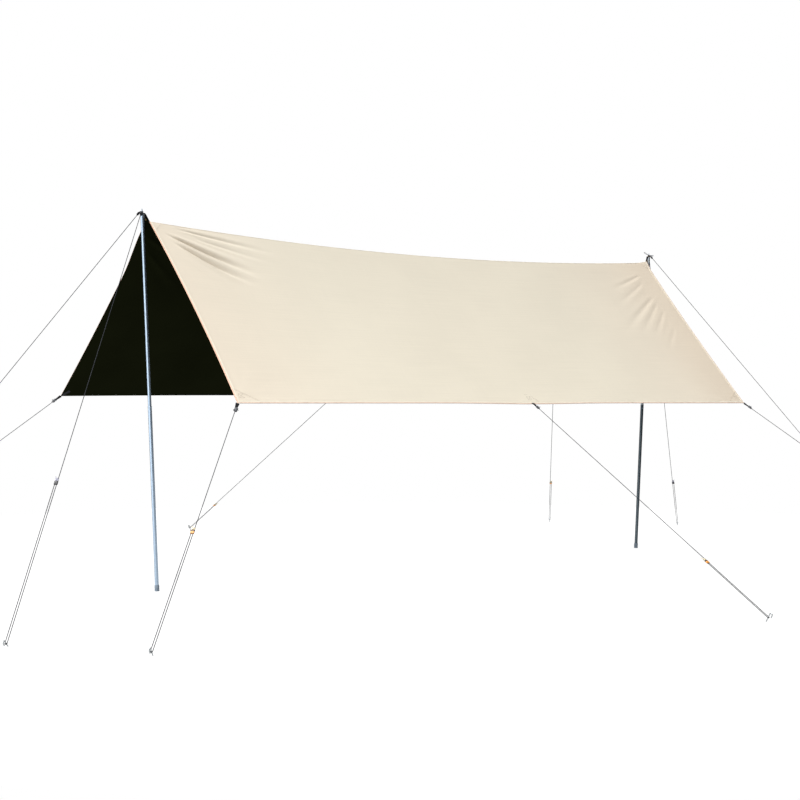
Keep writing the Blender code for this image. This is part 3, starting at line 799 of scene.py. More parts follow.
class Shape:
    """Mesh of skins, each with a map of its surface in metres."""

    def __init__(self):
        self.points = []
        self.faces = []
        self.map = []
        self.finishes = []

    def skin(self, rings, along, finish=0, endless=False):
        """Joins closed rings of points. An endless skin meets itself, others are capped."""
        rings = np.asarray(rings, float)
        count, size = rings.shape[:2]
        base = len(self.points)
        self.points.extend(rings.reshape(-1, 3).tolist())
        gaps = np.linalg.norm(np.roll(rings, -1, axis=1) - rings, axis=2).mean(axis=0)
        around = np.concatenate(([0.0], np.cumsum(gaps))).tolist()
        for i in range(count if endless else count - 1):
            one = base + i * size
            two = base + (i + 1) % count * size
            for j in range(size):
                beside = (j + 1) % size
                self.faces.append((one + j, one + beside, two + beside, two + j))
                self.map += [(along[i], around[j]), (along[i], around[j + 1])]
                self.map += [(along[i + 1], around[j + 1]), (along[i + 1], around[j])]
                self.finishes.append(finish)
        caps = () if endless else (0, count - 1)
        for i in caps:
            self.faces.append(tuple(base + i * size + j for j in range(size)))
            self.map += [(along[i] + around[j], around[j]) for j in range(size)]
            self.finishes.append(finish)

    def tube(self, points, radius, sides=10, finish=0):
        """Round cord or wire along a run of points."""
        points = np.asarray(points, float)
        tangents = unit(np.gradient(points, axis=0))
        radii = np.broadcast_to(radius, len(points))
        normal = square_to(tangents[0])[0]
        rings = []
        for point, tangent, reach in zip(points, tangents, radii):
            normal = unit(normal - tangent * normal.dot(tangent))
            rings.append(point + reach * circle(normal, np.cross(tangent, normal), sides))
        self.skin(rings, lengths_along(points), finish)

    def turned(self, origin, axis, profile, sides=TURNED_SIDES, endless=False):
        """Turns a profile of (radius, height) points about an axis."""
        spokes = circle(*square_to(axis), sides)
        rings = [origin + axis * height + max(radius, 1e-5) * spokes for radius, height in profile]
        self.skin(rings, lengths_along(np.array((*profile, profile[0]), float)), endless=endless)

    def plate(self, top, bottom):
        """Closes two grids of points, one over the other, into a thin plate."""
        rows, columns = top.shape[:2]
        base = len(self.points)
        self.points.extend(top.reshape(-1, 3).tolist() + bottom.reshape(-1, 3).tolist())
        under = rows * columns
        down = lengths_along(top[:, 0])
        along = lengths_along(top[0])
        for i in range(rows - 1):
            for j in range(columns - 1):
                corners = ((i, j), (i, j + 1), (i + 1, j + 1), (i + 1, j))
                flat = [base + a * columns + b for a, b in corners]
                spots = [(along[b], down[a]) for a, b in corners]
                self.faces.append(tuple(flat))
                self.faces.append(tuple(under + flat[k] for k in (0, 3, 2, 1)))
                self.map += spots + [spots[k] for k in (0, 3, 2, 1)]
        rim = [(0, j) for j in range(columns)] + [(i, columns - 1) for i in range(1, rows)]
        rim += [(rows - 1, j) for j in range(columns - 2, -1, -1)]
        rim += [(i, 0) for i in range(rows - 2, 0, -1)]
        for (a, b), (c, d) in zip(rim, rim[1:] + rim[:1]):
            one = base + a * columns + b
            two = base + c * columns + d
            self.faces.append((one, one + under, two + under, two))
            self.map += [(along[b], down[a])] * 2 + [(along[d], down[c])] * 2
        self.finishes += [0] * (len(self.faces) - len(self.finishes))

    def piece(self, name, materials, slot, *nodes, angle=35.0, body="tent"):
        """Ends the shape as a dressed piece."""
        mesh = bpy.data.meshes.new(name)
        mesh.from_pydata(self.points, [], self.faces)
        layer = mesh.uv_layers.new(name="metres")
        layer.data.foreach_set("uv", np.array(self.map, dtype=np.float32).ravel())
        mesh.polygons.foreach_set("material_index", self.finishes)
        return dressed(name, mesh, angle, materials, nodes, body)


# Tarp

def bow(t):
    return 4.0 * t * (1.0 - t)


def eased(t):
    t = np.clip(t, 0.0, 1.0)
    return t * t * (3.0 - 2.0 * t)


def bell(distance, spread):
    return np.exp(-((distance / spread) ** 2))


def fold_relief(x, down, fold):
    """A valley with a bulge on each side, deepest in its first half."""
    (x0, down0), (x1, down1), bend, first_width, last_width, share = fold
    length = math.hypot(x1 - x0, down1 - down0)
    run_x = (x1 - x0) / length
    run_down = (down1 - down0) / length
    t = ((x - x0) * run_x + (down - down0) * run_down) / length
    inside = np.clip(t, 0.0, 1.0)
    aside = ((down - down0) * run_x - (x - x0) * run_down) * math.copysign(1.0, run_x)
    q = (aside - bend * bow(inside)) / (first_width + (last_width - first_width) * inside)
    valley = -bell(q, 0.45)
    bulges = 0.50 * bell(q - 1.0, 0.6) + 0.35 * bell(q + 1.0, 0.6)
    reach = eased((t + 0.08) / 0.22) * (1.0 - eased((t - 0.35) / 0.65))
    return share * reach * (valley + bulges)


def fan_folds(fan):
    """Small folds that spread from a tie."""
    (x, s), first_angle, last_angle, count, length = fan
    folds = []
    for i in range(count):
        angle = math.radians(first_angle + (last_angle - first_angle) * i / (count - 1))
        run = length * (0.75 + 0.25 * math.sin(2.4 * i + x))
        start = (x + WRINKLE_START * math.cos(angle), abs(s) - WRINKLE_START * math.sin(angle))
        end = (x + run * math.cos(angle), abs(s) - run * math.sin(angle))
        folds.append((start, end, 0.006 * math.sin(1.7 * i), 0.026, 0.056, WRINKLE_SHARE))
    return folds


class Tarp:
    """Outer face of the tarp in metres of cloth.

    x runs from the front edge to the back edge. s runs across the ridge, below
    zero down the near slope and above it down the far one.
    """

    def __init__(self, cloth):
        self.fold_depth = cloth.fold_depth
        self.wave_height = cloth.wave_height
        self.belly = cloth.belly
        self.near_folds = list(NEAR_FOLDS)
        self.far_folds = list(FAR_FOLDS)
        for fan in WRINKLE_FANS:
            side_folds = self.near_folds if fan[0][1] < 0.0 else self.far_folds
            side_folds.extend(fan_folds(fan))

    def plain(self, x, s):
        """Surface without folds: the ridge sags and the gable edges curve inward."""
        near = (s < 0.0)[..., None]
        slope = np.where(s < 0.0, NEAR_SLOPE, FAR_SLOPE)
        a = (x / SHEET_LENGTH)[..., None]
        d = (np.hypot(s, RIDGE_ROUND) / slope)[..., None]
        front_corner = np.where(near, NEAR_FRONT, FAR_FRONT)
        back_corner = np.where(near, NEAR_BACK, FAR_BACK)
        front_bow = np.where(near, NEAR_FRONT_BOW, FAR_FRONT_BOW)
        straight = RIDGE_FRONT * (1.0 - a) + RIDGE_BACK * a
        ridge = straight - UP * RIDGE_SAG * bow(a)
        hem = front_corner * (1.0 - a) + back_corner * a
        front = RIDGE_FRONT * (1.0 - d) + front_corner * d + ALONG * front_bow * bow(d)
        back = RIDGE_BACK * (1.0 - d) + back_corner * d - ALONG * BACK_BOW * bow(d)
        point = ridge * (1.0 - d) + hem * d + front * (1.0 - a) + back * a
        point = point - straight * (1.0 - d) - hem * d
        point[..., 1] = hem[..., 1] * np.abs(s) / slope
        tip = bell(SHEET_LENGTH - x, BACK_TIP_LENGTH) * bell(s, BACK_TIP_WIDTH)
        push = eased(s / FAR_PUSH_RISE) * (1.0 - eased((s - FAR_PUSH_RISE) / FAR_PUSH_FADE))
        push = push * (1.0 - eased(x / FAR_PUSH_LENGTH))
        drawn = -MIDDLE_TIE_PULL * bell(x - MIDDLE_TIE_PLACE, MIDDLE_TIE_SPREAD)
        lifted = FAR_HEM_LIFT * bow(np.clip(x / FAR_LIFT_LENGTH, 0.0, 1.0))
        lift = np.where(s < 0.0, drawn, np.where(s > 0.0, lifted, 0.0))
        lift = lift * eased((np.abs(s) / slope - 0.55) / 0.45)
        point = point + tip[..., None] * BACK_TIP_PULL
        return point - push[..., None] * ALONG * FAR_EDGE_PUSH + lift[..., None] * UP

    def relief(self, x, s):
        """Height of the folds and waves over the plain surface."""
        slope = np.where(s < 0.0, NEAR_SLOPE, FAR_SLOPE)
        down = np.abs(s)
        folds = np.zeros_like(x)
        for here, side_folds in ((s < 0.0, self.near_folds), (s > 0.0, self.far_folds)):
            for fold in side_folds:
                folds = folds + np.where(here, fold_relief(x, down, fold), 0.0)
        waves = 0.0
        for share, length, width, start in WAVES:
            waves = waves + share * np.sin(2.0 * np.pi * (x / length + s / width) + start)
        from_ends = np.minimum(x, SHEET_LENGTH - x)
        calm = eased(from_ends / 0.35) * eased(down / 0.25) * eased((slope - down) / 0.20)
        firm = eased(from_ends / 0.03) * eased(down / 0.03) * eased((slope - down) / 0.04)
        hollow = bow(np.clip(down / slope, 0.0, 1.0)) * eased(from_ends / 0.60)
        return folds * firm * self.fold_depth + waves * calm * self.wave_height - hollow * self.belly

    def normal(self, x, s):
        """Outward direction of the plain surface."""
        step = 0.002
        along = self.plain(x + step, s) - self.plain(x - step, s)
        across = self.plain(x, s + step) - self.plain(x, s - step)
        return unit(np.cross(along, across))

    def at(self, x, s, lift=0.0):
        """Points of the tarp, raised off its outer face."""
        x, s, lift = np.broadcast_arrays(np.asarray(x, float), np.asarray(s, float), lift)
        height = self.relief(x, s) + lift
        return self.plain(x, s) + self.normal(x, s) * height[..., None]

    def layer(self, shape, x, s, high, low):
        """Plate between two heights over a grid of places on the cloth."""
        shape.plate(self.at(x, s, high), self.at(x, s, low))

    def mapped_layer(self, x, s, high, low):
        """Layer with the map of the sheet, so that its tint and weave run on."""
        shape = Shape()
        self.layer(shape, x, s, high, low)
        places = list(zip(x.ravel().tolist(), s.ravel().tolist())) * 2
        shape.map = [places[index] for face in shape.faces for index in face]
        return shape


def spaced(*stops):
    """Places whose spacing glides from each (place, spacing) stop to the next."""
    places = [stops[0][0]]
    ends = np.array([place for place, _ in stops])
    gaps = np.array([gap for _, gap in stops])
    while places[-1] < ends[-1]:
        places.append(places[-1] + float(np.interp(places[-1], ends, gaps)))
    run = np.array(places)
    return ends[0] + (run - run[0]) * (ends[-1] - ends[0]) / (run[-1] - run[0])


def dark_lining(cloth):
    return kept("dark_lining", coated_lining, cloth.lining_colour)


def black_webbing(trim):
    return kept("black_webbing", ribbed_webbing, trim.webbing_colour, trim.webbing_rib)


def make_sheet(cloth):
    """One continuous sheet over the ridge, with its coated underside."""
    fine = cloth.cell_size
    crest = 0.006
    front = ((0.0, fine * 2.0), (0.50, fine * 2.4), (1.05, fine * 9.0))
    x = spaced(*front, (3.45, fine * 9.0), (4.05, fine * 2.8), (SHEET_LENGTH, fine * 2.4))
    upper = ((crest, fine * 0.8), (0.36, fine), (0.66, fine * 3.0), (0.95, fine * 5.0))
    near = spaced(*upper, (1.40, fine * 4.4), (NEAR_SLOPE, fine * 2.8))
    upper = ((crest, fine * 0.8), (0.40, fine * 2.2), (0.80, fine * 5.0))
    far = spaced(*upper, (1.30, fine * 6.0), (FAR_SLOPE, fine * 2.8))
    s = np.concatenate((-near[::-1], (-0.0025, 0.0, 0.0025), far))
    grid_x, grid_s = np.meshgrid(x, s)
    shape = Tarp(cloth).mapped_layer(grid_x, grid_s, 0.0, -CLOTH_THICKNESS)
    shape.finishes = [int(min(face) >= grid_x.size) for face in shape.faces]
    weave = kept("tarp_cloth_weave", woven_cloth, cloth.face_colour, cloth.yarn_pitch)
    faces = (weave, dark_lining(cloth))
    shape.piece("tarp_sheet", faces, "tarp_cloth", "near_slope", "far_slope", angle=60.0)


def piping_profile(width, lift):
    """Outline of the rolled edge: place out from the edge, height over the cloth."""
    return (
        (-width, 0.0002),
        (-width + 0.0012, 0.0020 + lift),
        (-width * 0.5, 0.0027 + lift),
        (-0.0010, 0.0021 + lift),
        (0.0006, 0.0010),
        (0.0010, -0.0002),
        (0.0008, -0.0012),
        (-width, -0.0011),
    )


def tape_profile(near_edge, far_edge, height):
    """Flat band between two distances from the edge."""
    return ((-far_edge, SUNK), (-far_edge, height), (-near_edge, height), (-near_edge, SUNK))


def under_profile(width, lift):
    """Dark band under an edge, turned up a little round it."""
    low = -CLOTH_THICKNESS
    return (
        (-width, low + 0.0002),
        (0.0011, low + 0.0002),
        (0.0012, low - 0.0006 - lift),
        (0.0004, low - 0.0012 - lift),
        (-width, low - 0.0008 - lift),
    )


def edge_band(shape, tarp, edge, profile, finish=0):
    """Sweeps a profile along an edge of the tarp."""
    _, start, end, outward, steps = edge
    t = np.linspace(0.0, 1.0, steps + 1)
    if outward[1] == 0.0:
        crest = np.array((-0.006, -0.0025, 0.0, 0.0025, 0.006))
        t = np.sort(np.concatenate((t, (crest - start[1]) / (end[1] - start[1]))))
    path = np.outer(1.0 - t, start) + np.outer(t, end)
    out, height = np.array(profile).T
    x = path[:, :1] + outward[0] * out
    s = path[:, 1:] + outward[1] * out
    shape.skin(tarp.at(x, s, np.broadcast_to(height, x.shape)), lengths_along(path), finish)


def make_edges(cloth, trim):
    """Rolled piping, flat tape and dark under band on the four edges of the tarp."""
    tarp = Tarp(cloth)
    piping = Shape()
    tape = Shape()
    under = Shape()
    for edge in EDGES:
        hem = edge[0].endswith("hem")
        lift = 0.0 if hem else GABLE_LIFT
        roll = HEM_PIPING if hem else GABLE_PIPING
        band = HEM_TAPE if hem else GABLE_TAPE
        edge_band(piping, tarp, edge, piping_profile(roll, lift), int(hem))
        edge_band(tape, tarp, edge, tape_profile(roll - 0.0010, band, TAPE_LIFT + lift))
        edge_band(under, tarp, edge, under_profile(band, lift))
    grid = np.meshgrid(np.linspace(0.0, SHEET_LENGTH, 221), np.array(SEAM_STEPS) * RIDGE_SEAM)
    seam = tarp.mapped_layer(*grid, SEAM_LIFT, SUNK)
    seam_finish = kept("seam_weave", woven_cloth, trim.patch_colour, cloth.yarn_pitch)
    seam.piece("ridge_seam", (seam_finish,), "tarp_cloth")
    gable_finish = kept("peach_piping", twill_tape, trim.piping_colour)
    hem_finish = kept("pale_peach_piping", twill_tape, trim.hem_piping_colour)
    # Partly a painted highlight: the tape's cream is lighter than the cloth, for the light on the raised edge
    tape_finish = kept("cream_hem_tape", twill_tape, trim.tape_painted_highlight_colour)
    piping.piece("edge_piping", (gable_finish, hem_finish), "tarp_cloth", angle=50.0)
    tape.piece("edge_tape", (tape_finish,), "tarp_cloth")
    under.piece("edge_under_band", (dark_lining(cloth),), "tarp_cloth")


def quad_grid(corners, across_steps, along_steps):
    """Grid of places inside four corners, as their first and their second measures."""
    corners = np.array(corners, float)
    u = np.linspace(0.0, 1.0, along_steps + 1)[None, :, None]
    v = np.linspace(0.0, 1.0, across_steps + 1)[:, None, None]
    low = corners[0] * (1.0 - u) + corners[1] * u
    high = corners[3] * (1.0 - u) + corners[2] * u
    grid = low * (1.0 - v) + high * v
    return grid[..., 0], grid[..., 1]


def make_patches(cloth, trim):
    """Reinforcement patches at the corners, the ridge and the middle of the hems."""
    tarp = Tarp(cloth)
    finish = kept("patch_weave", woven_cloth, trim.patch_colour, cloth.yarn_pitch)
    for name, corners in PATCHES:
        patch = tarp.mapped_layer(*quad_grid(corners, 12, 14), PATCH_LIFT, SUNK)
        patch.piece(f"{name}_patch", (finish,), "tarp_cloth")


def stitch_row(shape, tarp, start, end, lift):
    """Short stitches in a row, each a slim lozenge."""
    start = np.array(start, float)
    end = np.array(end, float)
    length = np.linalg.norm(end - start)
    count = max(int(length / STITCH_PITCH), 1)
    run = (end - start) / length
    aside = np.array((-run[1], run[0]))
    middles = start + np.outer((np.arange(count) + 0.5) / count * length, run)
    half = STITCH_LENGTH / 2
    waist = ((STITCH_RADIUS, 0.0), (0.0, STITCH_RADIUS), (-STITCH_RADIUS, 0.0), (0.0, -STITCH_RADIUS))
    places = ((half, 0.0, 0.0), *((0.0, *spot) for spot in waist), (-half, 0.0, 0.0))
    rows = []
    for forward, sideways, rise in places:
        spot = middles + run * forward + aside * sideways
        rows.append(tarp.at(spot[:, 0], spot[:, 1], lift + rise))
    sides = ((0, 1, 2), (0, 2, 3), (0, 3, 4), (0, 4, 1), (5, 2, 1), (5, 3, 2), (5, 4, 3), (5, 1, 4))
    for stitch in np.stack(rows, axis=1).tolist():
        base = len(shape.points)
        shape.points.extend(stitch)
        shape.faces += [tuple(base + corner for corner in side) for side in sides]
        shape.map += [(STITCH_LENGTH * (corner == 0), 0.0) for side in sides for corner in side]
        shape.finishes += [0] * len(sides)


def stitch_edges(shape, tarp):
    """Two rows along each edge of the sheet and one on each side of the ridge."""
    for name, start, end, outward, _ in EDGES:
        hem = name.endswith("hem")
        lift = TAPE_LIFT + (0.0001 if hem else 0.0004)
        for inset in HEM_INSETS if hem else GABLE_INSETS:
            shift = -inset * np.array(outward)
            stitch_row(shape, tarp, np.array(start) + shift, np.array(end) + shift, lift)
    for s in (-SEAM_ROW_PLACE, SEAM_ROW_PLACE):
        stitch_row(shape, tarp, (ROW_END, s), (SHEET_LENGTH - ROW_END, s), SEAM_LIFT + 0.0002)


def stitch_patch(shape, tarp, corners):
    """Rows along the sides of a patch that don't lie on an edge of the sheet."""
    ring = np.array(corners)
    middle = ring.mean(axis=0)
    insets = RIDGE_PATCH_INSETS if abs(middle[1]) < 0.2 else HEM_PATCH_INSETS
    for one, two in zip(ring[1:], ring[2:]):
        if np.linalg.norm(two - one) > STITCH_PITCH:
            run = unit(two - one)
            inward = np.array((-run[1], run[0]))
            inward = inward * np.sign(inward.dot(middle - one))
            for inset in insets:
                start = one + inward * inset + run * PATCH_ROW_END
                end = two + inward * inset - run * PATCH_ROW_END
                stitch_row(shape, tarp, start, end, PATCH_LIFT + 0.0002)


def stitch_box(shape, tarp, x, s):
    """Square of stitches with both of its diagonals."""
    steps = ((-1, -1), (1, -1), (1, 1), (-1, 1))
    corners = [(x + BOX_HALF * a, s + BOX_HALF * b) for a, b in steps]
    for one, two in zip(corners, corners[1:] + corners[:1]):
        stitch_row(shape, tarp, one, two, PATCH_LIFT + 0.0002)
    stitch_row(shape, tarp, corners[0], corners[2], PATCH_LIFT + 0.0002)
    stitch_row(shape, tarp, corners[1], corners[3], PATCH_LIFT + 0.0004)


def make_stitching(cloth, trim):
    """Rows of stitches along the edges and patches, and the dark box stitches."""
    tarp = Tarp(cloth)
    seams = Shape()
    stitch_edges(seams, tarp)
    brown = Shape()
    pale = Shape()
    for name, corners in PATCHES:
        stitch_patch(pale if name.startswith("back_ridge") else brown, tarp, corners)
    boxes = Shape()
    for x, s in BOX_PLACES:
        stitch_box(boxes, tarp, x, s)
    cream_thread = kept("cream_thread", twisted_thread, trim.thread_colour)
    # Partly a painted shade: the dark brown stitches stand for the shade along the folded patch edges
    brown_thread = kept("brown_thread", twisted_thread, trim.patch_thread_colour)
    dark_thread = kept("dark_thread", twisted_thread, trim.dark_thread_colour)
    seams.piece("seam_stitching", (cream_thread,), "tarp_cloth")
    pale.piece("back_patch_stitching", (cream_thread,), "tarp_cloth")
    brown.piece("patch_stitching", (brown_thread,), "tarp_cloth")
    boxes.piece("box_stitching", (dark_thread,), "tab_webbing")


# Poles

class Pole:
    """Line of one pole, from its sole to its shoulder."""

    def __init__(self, end, foot_x, top_x):
        self.end = end
        self.top_x = top_x
        self.foot = np.array((foot_x, 0.0, 0.0))
        self.axis = unit(np.array((top_x - foot_x, 0.0, SHOULDER_HEIGHT)))
        self.length = math.hypot(top_x - foot_x, SHOULDER_HEIGHT)

    def at(self, along):
        return self.foot + self.axis * along


POLES = {
    "front": Pole("front", FRONT_FOOT_X, FRONT_TOP_X),
    "back": Pole("back", BACK_FOOT_X, BACK_TOP_X),
}


def lower_tube_profile():
    """Tube with a rolled rim at its joint."""
    radius = LOWER_TUBE_RADIUS
    bore = radius - TUBE_WALL
    rim = TUBE_RIM
    outside = (
        (radius, -0.0070),
        (radius, -0.0062),
        (radius + rim * 0.7, -0.0054),
        (radius + rim, -0.0042),
        (radius + rim, -0.0014),
        (radius + rim * 0.7, -0.0004),
        (radius, 0.0),
        (bore, 0.0),
        (bore - 0.0001, -0.002),
        (bore - 0.0001, -0.012),
        (bore, -0.013),
    )
    low = FOOT_SOLE + TOUCH
    return ((bore, low), (radius, low), *((across, TUBE_JOINT + rise) for across, rise in outside))


def upper_tube_profile(shoulder):
    radius = UPPER_TUBE_RADIUS
    bore = radius - TUBE_WALL
    low = TUBE_JOINT - TUBE_OVERLAP
    high = shoulder - TOUCH
    return ((bore, low), (radius, low), (radius, high - 0.0006), (radius - 0.0006, high), (bore, high))


def foot_profile():
    """Rubber cup with three grooves and a thinner lip."""
    cup = LOWER_TUBE_RADIUS + TOUCH
    out = FOOT_RADIUS
    profile = [(0.0, 0.0), (out - 0.0016, 0.0), (out - 0.0004, 0.0008), (out, 0.0024)]
    for height in FOOT_RIB_HEIGHTS:
        profile += [(out, height), (out - 0.0010, height + 0.0006)]
        profile += [(out - 0.0010, height + 0.0020), (out, height + 0.0026)]
    profile += [(out, FOOT_HEIGHT - 0.0085), (out - 0.0005, FOOT_HEIGHT - 0.0060)]
    profile += [(cup + 0.0016, FOOT_HEIGHT - 0.0008), (cup + 0.0008, FOOT_HEIGHT)]
    return profile + [(cup, FOOT_HEIGHT), (cup, FOOT_SOLE), (0.0, FOOT_SOLE)]


def tip_profile(shoulder, length):
    """Spigot in the tube, the shoulder over it and the pointed pin."""
    radius = UPPER_TUBE_RADIUS
    spigot = radius - TUBE_WALL - TOUCH
    pin_end = length + PIN_LENGTH
    return (
        (0.0, shoulder - SPIGOT_LENGTH),
        (spigot - 0.001, shoulder - SPIGOT_LENGTH),
        (spigot, shoulder - SPIGOT_LENGTH + 0.001),
        (spigot, shoulder),
        (radius - 0.0006, shoulder),
        (radius, shoulder + 0.0006),
        (radius, length - 0.0012),
        (radius - 0.0012, length),
        (WIRE_RADIUS + 0.0008, length),
        (WIRE_RADIUS, length + 0.0008),
        (WIRE_RADIUS, pin_end - PIN_TAPER),
        (WIRE_RADIUS * 0.86, pin_end - PIN_TAPER * 0.55),
        (PIN_TIP_RADIUS, pin_end - 0.0010),
        (PIN_TIP_RADIUS * 0.6, pin_end),
        (0.0, pin_end),
    )


def button_profile():
    """Domed button of the joint, standing out of the lower tube."""
    outside = ((0.0, -0.0010), (0.0034, -0.0010), (0.0034, 0.0004), (0.0031, 0.0014))
    outside += ((0.0020, 0.0024), (0.0008, 0.0028), (0.0, 0.0028))
    return [(radius, LOWER_TUBE_RADIUS + rise) for radius, rise in outside]


def make_pole(pole, poles):
    """Two tubes, a ribbed rubber foot, a turned tip and the button of the joint."""
    steel = kept("galvanised_tube", galvanised_steel, poles.steel_colour, poles.spangle_size)
    rubber = kept("grey_foot_rubber", moulded_rubber, poles.foot_colour)
    lower_steel = upper_steel = steel
    # On the back pole the steel's colour holds a painted shade on the lower tube and a painted highlight on
    # the upper tube and tip
    if pole.end == "back":
        spangle = poles.spangle_size
        lower_steel = kept("shaded_tube", galvanised_steel, poles.shaded_steel_colour, spangle)
        upper_steel = kept("bright_tube", galvanised_steel, poles.painted_highlight_steel_colour, spangle)
    shoulder = pole.length - SHOULDER_THICKNESS
    for name, profile, endless, finish, slot in (
        ("lower_tube", lower_tube_profile(), True, lower_steel, "pole_steel"),
        ("upper_tube", upper_tube_profile(shoulder), True, upper_steel, "pole_steel"),
        ("foot", foot_profile(), False, rubber, "pole_foot_rubber"),
        ("tip", tip_profile(shoulder, pole.length), False, upper_steel, "pole_steel"),
    ):
        shape = Shape()
        shape.turned(pole.foot, pole.axis, profile, endless=endless)
        shape.points = [(x, y, max(z, 0.0)) for x, y, z in shape.points]
        shape.piece(f"{pole.end}_{name}", (finish,), slot, f"{pole.end}_pole_{name}")
    button = Shape()
    seat = pole.at(TUBE_JOINT - BUTTON_DROP)
    button.turned(seat, unit(np.array(BUTTON_DIRECTION)), button_profile(), sides=24)
    button.piece(f"{pole.end}_joint_button", (steel,), "pole_steel")


# Ridge straps

def ribbon(shape, points, across, half_widths, thickness):
    """Webbing along a run of points, its faces square to the run and to its width."""
    points = np.asarray(points, float)
    tangents = unit(np.gradient(points, axis=0))
    half = thickness / 2
    edge = half * 0.7
    rings = []
    for point, tangent, half_width in zip(points, tangents, half_widths):
        normal = unit(np.cross(tangent, across))
        ring = (
            (-half_width, -half + edge),
            (-half_width, half - edge),
            (-half_width + edge, half),
            (half_width - edge, half),
            (half_width, half - edge),
            (half_width, -half + edge),
            (half_width - edge, -half),
            (-half_width + edge, -half),
        )
        rings.append([point + across * side + normal * rise for side, rise in ring])
    shape.skin(rings, lengths_along(points))


def eyelet(shape, centre, axis, inner, outer, rise):
    """Rolled brass ring that stands proud of both faces of a strap."""
    middle = (inner + outer) / 2
    upper = ((inner, rise), (inner + 0.0006, rise + 0.0006), (middle, rise + 0.0008))
    upper += ((outer - 0.0006, rise + 0.0003), (outer, rise - 0.0004))
    lower = [(radius, -height) for radius, height in upper]
    shape.turned(centre, axis, (lower[0], *upper, *lower[:0:-1]), sides=40, endless=True)


# Gusset: corners as (from the front, up), first and last from the pin, the others
# from the ridge end, and how far that lies under the sheet
GUSSET_PIN_CORNERS = ((0.0135, -0.0020), (0.0160, -0.1050))
GUSSET_RIDGE_CORNERS = ((0.0020, 0.0), (-0.0100, -0.0480))
GUSSET_DROP = 0.0050
GUSSET_HALF = 0.0006


def make_gusset(pin, ridge_end, lining):
    """Fin of black cloth under the front strap."""
    corner = ridge_end - UP * GUSSET_DROP
    first, last = [(pin[0] + x, pin[2] + z) for x, z in GUSSET_PIN_CORNERS]
    by_ridge = [(corner[0] + x, corner[2] + z) for x, z in GUSSET_RIDGE_CORNERS]
    x, z = quad_grid((first, *by_ridge, last), 8, 4)
    sides = (-GUSSET_HALF, GUSSET_HALF)
    faces = [np.stack((x, np.full(x.shape, y), z), axis=-1) for y in sides]
    shape = Shape()
    shape.plate(*faces)
    shape.piece("front_ridge_gusset", (lining,), "tab_webbing")


# Straps: end, half width, where the strap bends down, ridge end, the sheet's edge
# there and the way into the sheet
STRAPS = (
    ("front", 0.0085, 0.020, RIDGE_FRONT, 0.0, 1.0),
    ("back", 0.0060, 0.015, RIDGE_BACK, SHEET_LENGTH, -1.0),
)
STRAP_ANCHOR_LENGTH = 0.060
STRAP_ANCHOR_HALF = 0.0105
STRAP_TAIL_LENGTH = 0.046
STRAP_TAIL_PLACE = 0.0200
STRAP_TAIL_DROP = 0.0045
STRAP_TAIL_THICKNESS = 0.0018
STRAP_RIDGE_DROP = 0.0045
STRAP_SEWN_THICKNESS = 0.0020


def make_ridge_straps(cloth, trim, poles):
    """Straps from the ridge to the pole tips, with brass eyelets."""
    tarp = Tarp(cloth)
    webbing = black_webbing(trim)
    brass = kept("eyelet_brass", rolled_brass, poles.brass_colour)
    end_radius = STRAP_END_RADIUS
    for end, half, bend, ridge_end, edge, into in STRAPS:
        pole = POLES[end]
        inward = ALONG * math.copysign(1.0, ridge_end[0] - pole.top_x)
        across = np.cross(UP, inward)
        pin = pole.at(pole.length)
        low = pin + UP * (STRAP_LIFT + WEBBING_THICKNESS / 2)
        reach = (ridge_end - pin).dot(inward)
        drop = low[2] - (ridge_end[2] - STRAP_RIDGE_DROP)
        head = [(-end_radius * cosine, end_radius * sine, 0.0) for sine, cosine in half_turn(16)[1:9]]
        outline = ((end_radius, end_radius, 0.0), (bend, half + 0.0015, 0.003), (reach, half, drop))
        stations = np.vstack((head, softened(outline, 3)))
        shape = Shape()
        middles = [low + inward * along - UP * fall for along, _, fall in stations]
        ribbon(shape, middles, across, stations[:, 1], WEBBING_THICKNESS)
        last = edge + STRAP_ANCHOR_LENGTH * into
        wide = STRAP_ANCHOR_HALF
        grid = quad_grid(((edge, -wide), (last, -wide), (last, wide), (edge, wide)), 8, 8)
        tarp.layer(shape, *grid, -CLOTH_THICKNESS - 0.0001, -CLOTH_THICKNESS - STRAP_SEWN_THICKNESS)
        if end == "front":
            make_gusset(low, ridge_end, dark_lining(cloth))
        hang = low + inward * STRAP_TAIL_PLACE - UP * STRAP_TAIL_DROP
        tail = []
        for fall in np.linspace(0.0, STRAP_TAIL_LENGTH, 12):
            tail.append(hang - UP * fall + inward * 0.004 * math.sin(fall * 40.0))
        ribbon(shape, tail, across, [half] * 11 + [half - 0.0015], STRAP_TAIL_THICKNESS)
        shape.piece(f"{end}_ridge_strap", (webbing,), "tab_webbing", f"{end}_ridge_tab")
        rings = Shape()
        seat = low + UP * (WEBBING_THICKNESS / 2 + 0.0008)
        eyelet(rings, seat, pole.axis, WIRE_RADIUS + 0.0006, EYELET_OUTER, 0.0009)
        eyelet(rings, tail[8], inward, 0.0034, 0.0072, 0.0012)
        rings.piece(f"{end}_strap_eyelets", (brass,), None)


# Guy lines

class Guy:
    """One guy line: where it is tied, its straight run, its peg and adjuster."""

    def __init__(self, name, start, ground, runner_distance):
        ground = np.array(ground)
        straight = unit(ground - start)
        self.name = name
        self.start = start
        self.ground = ground
        self.runner_distance = runner_distance
        self.side = unit(np.cross(straight, UP))
        self.peg_axis = unit(np.cross(self.side, straight))
        self.turn = ground + self.peg_axis * PEG_LOOP_HEIGHT - self.side * TURN_RADIUS
        self.direction = unit(self.turn - start)
        self.upward = np.cross(self.side, self.direction)

    def at(self, along_from_turn, across=0.0):
        """Point measured back from the peg and to the tail's side."""
        return self.turn - self.direction * along_from_turn + self.side * across

    def tied(self, tie, across, first_leg, last_leg, length):
        """Closes the cord's eye: from its knot along one leg and back along the other."""
        knot = tie + self.direction * length
        self.tie = tie
        self.across = across
        self.eye = [knot - across * STRAND_STEP, *first_leg, *last_leg, knot]


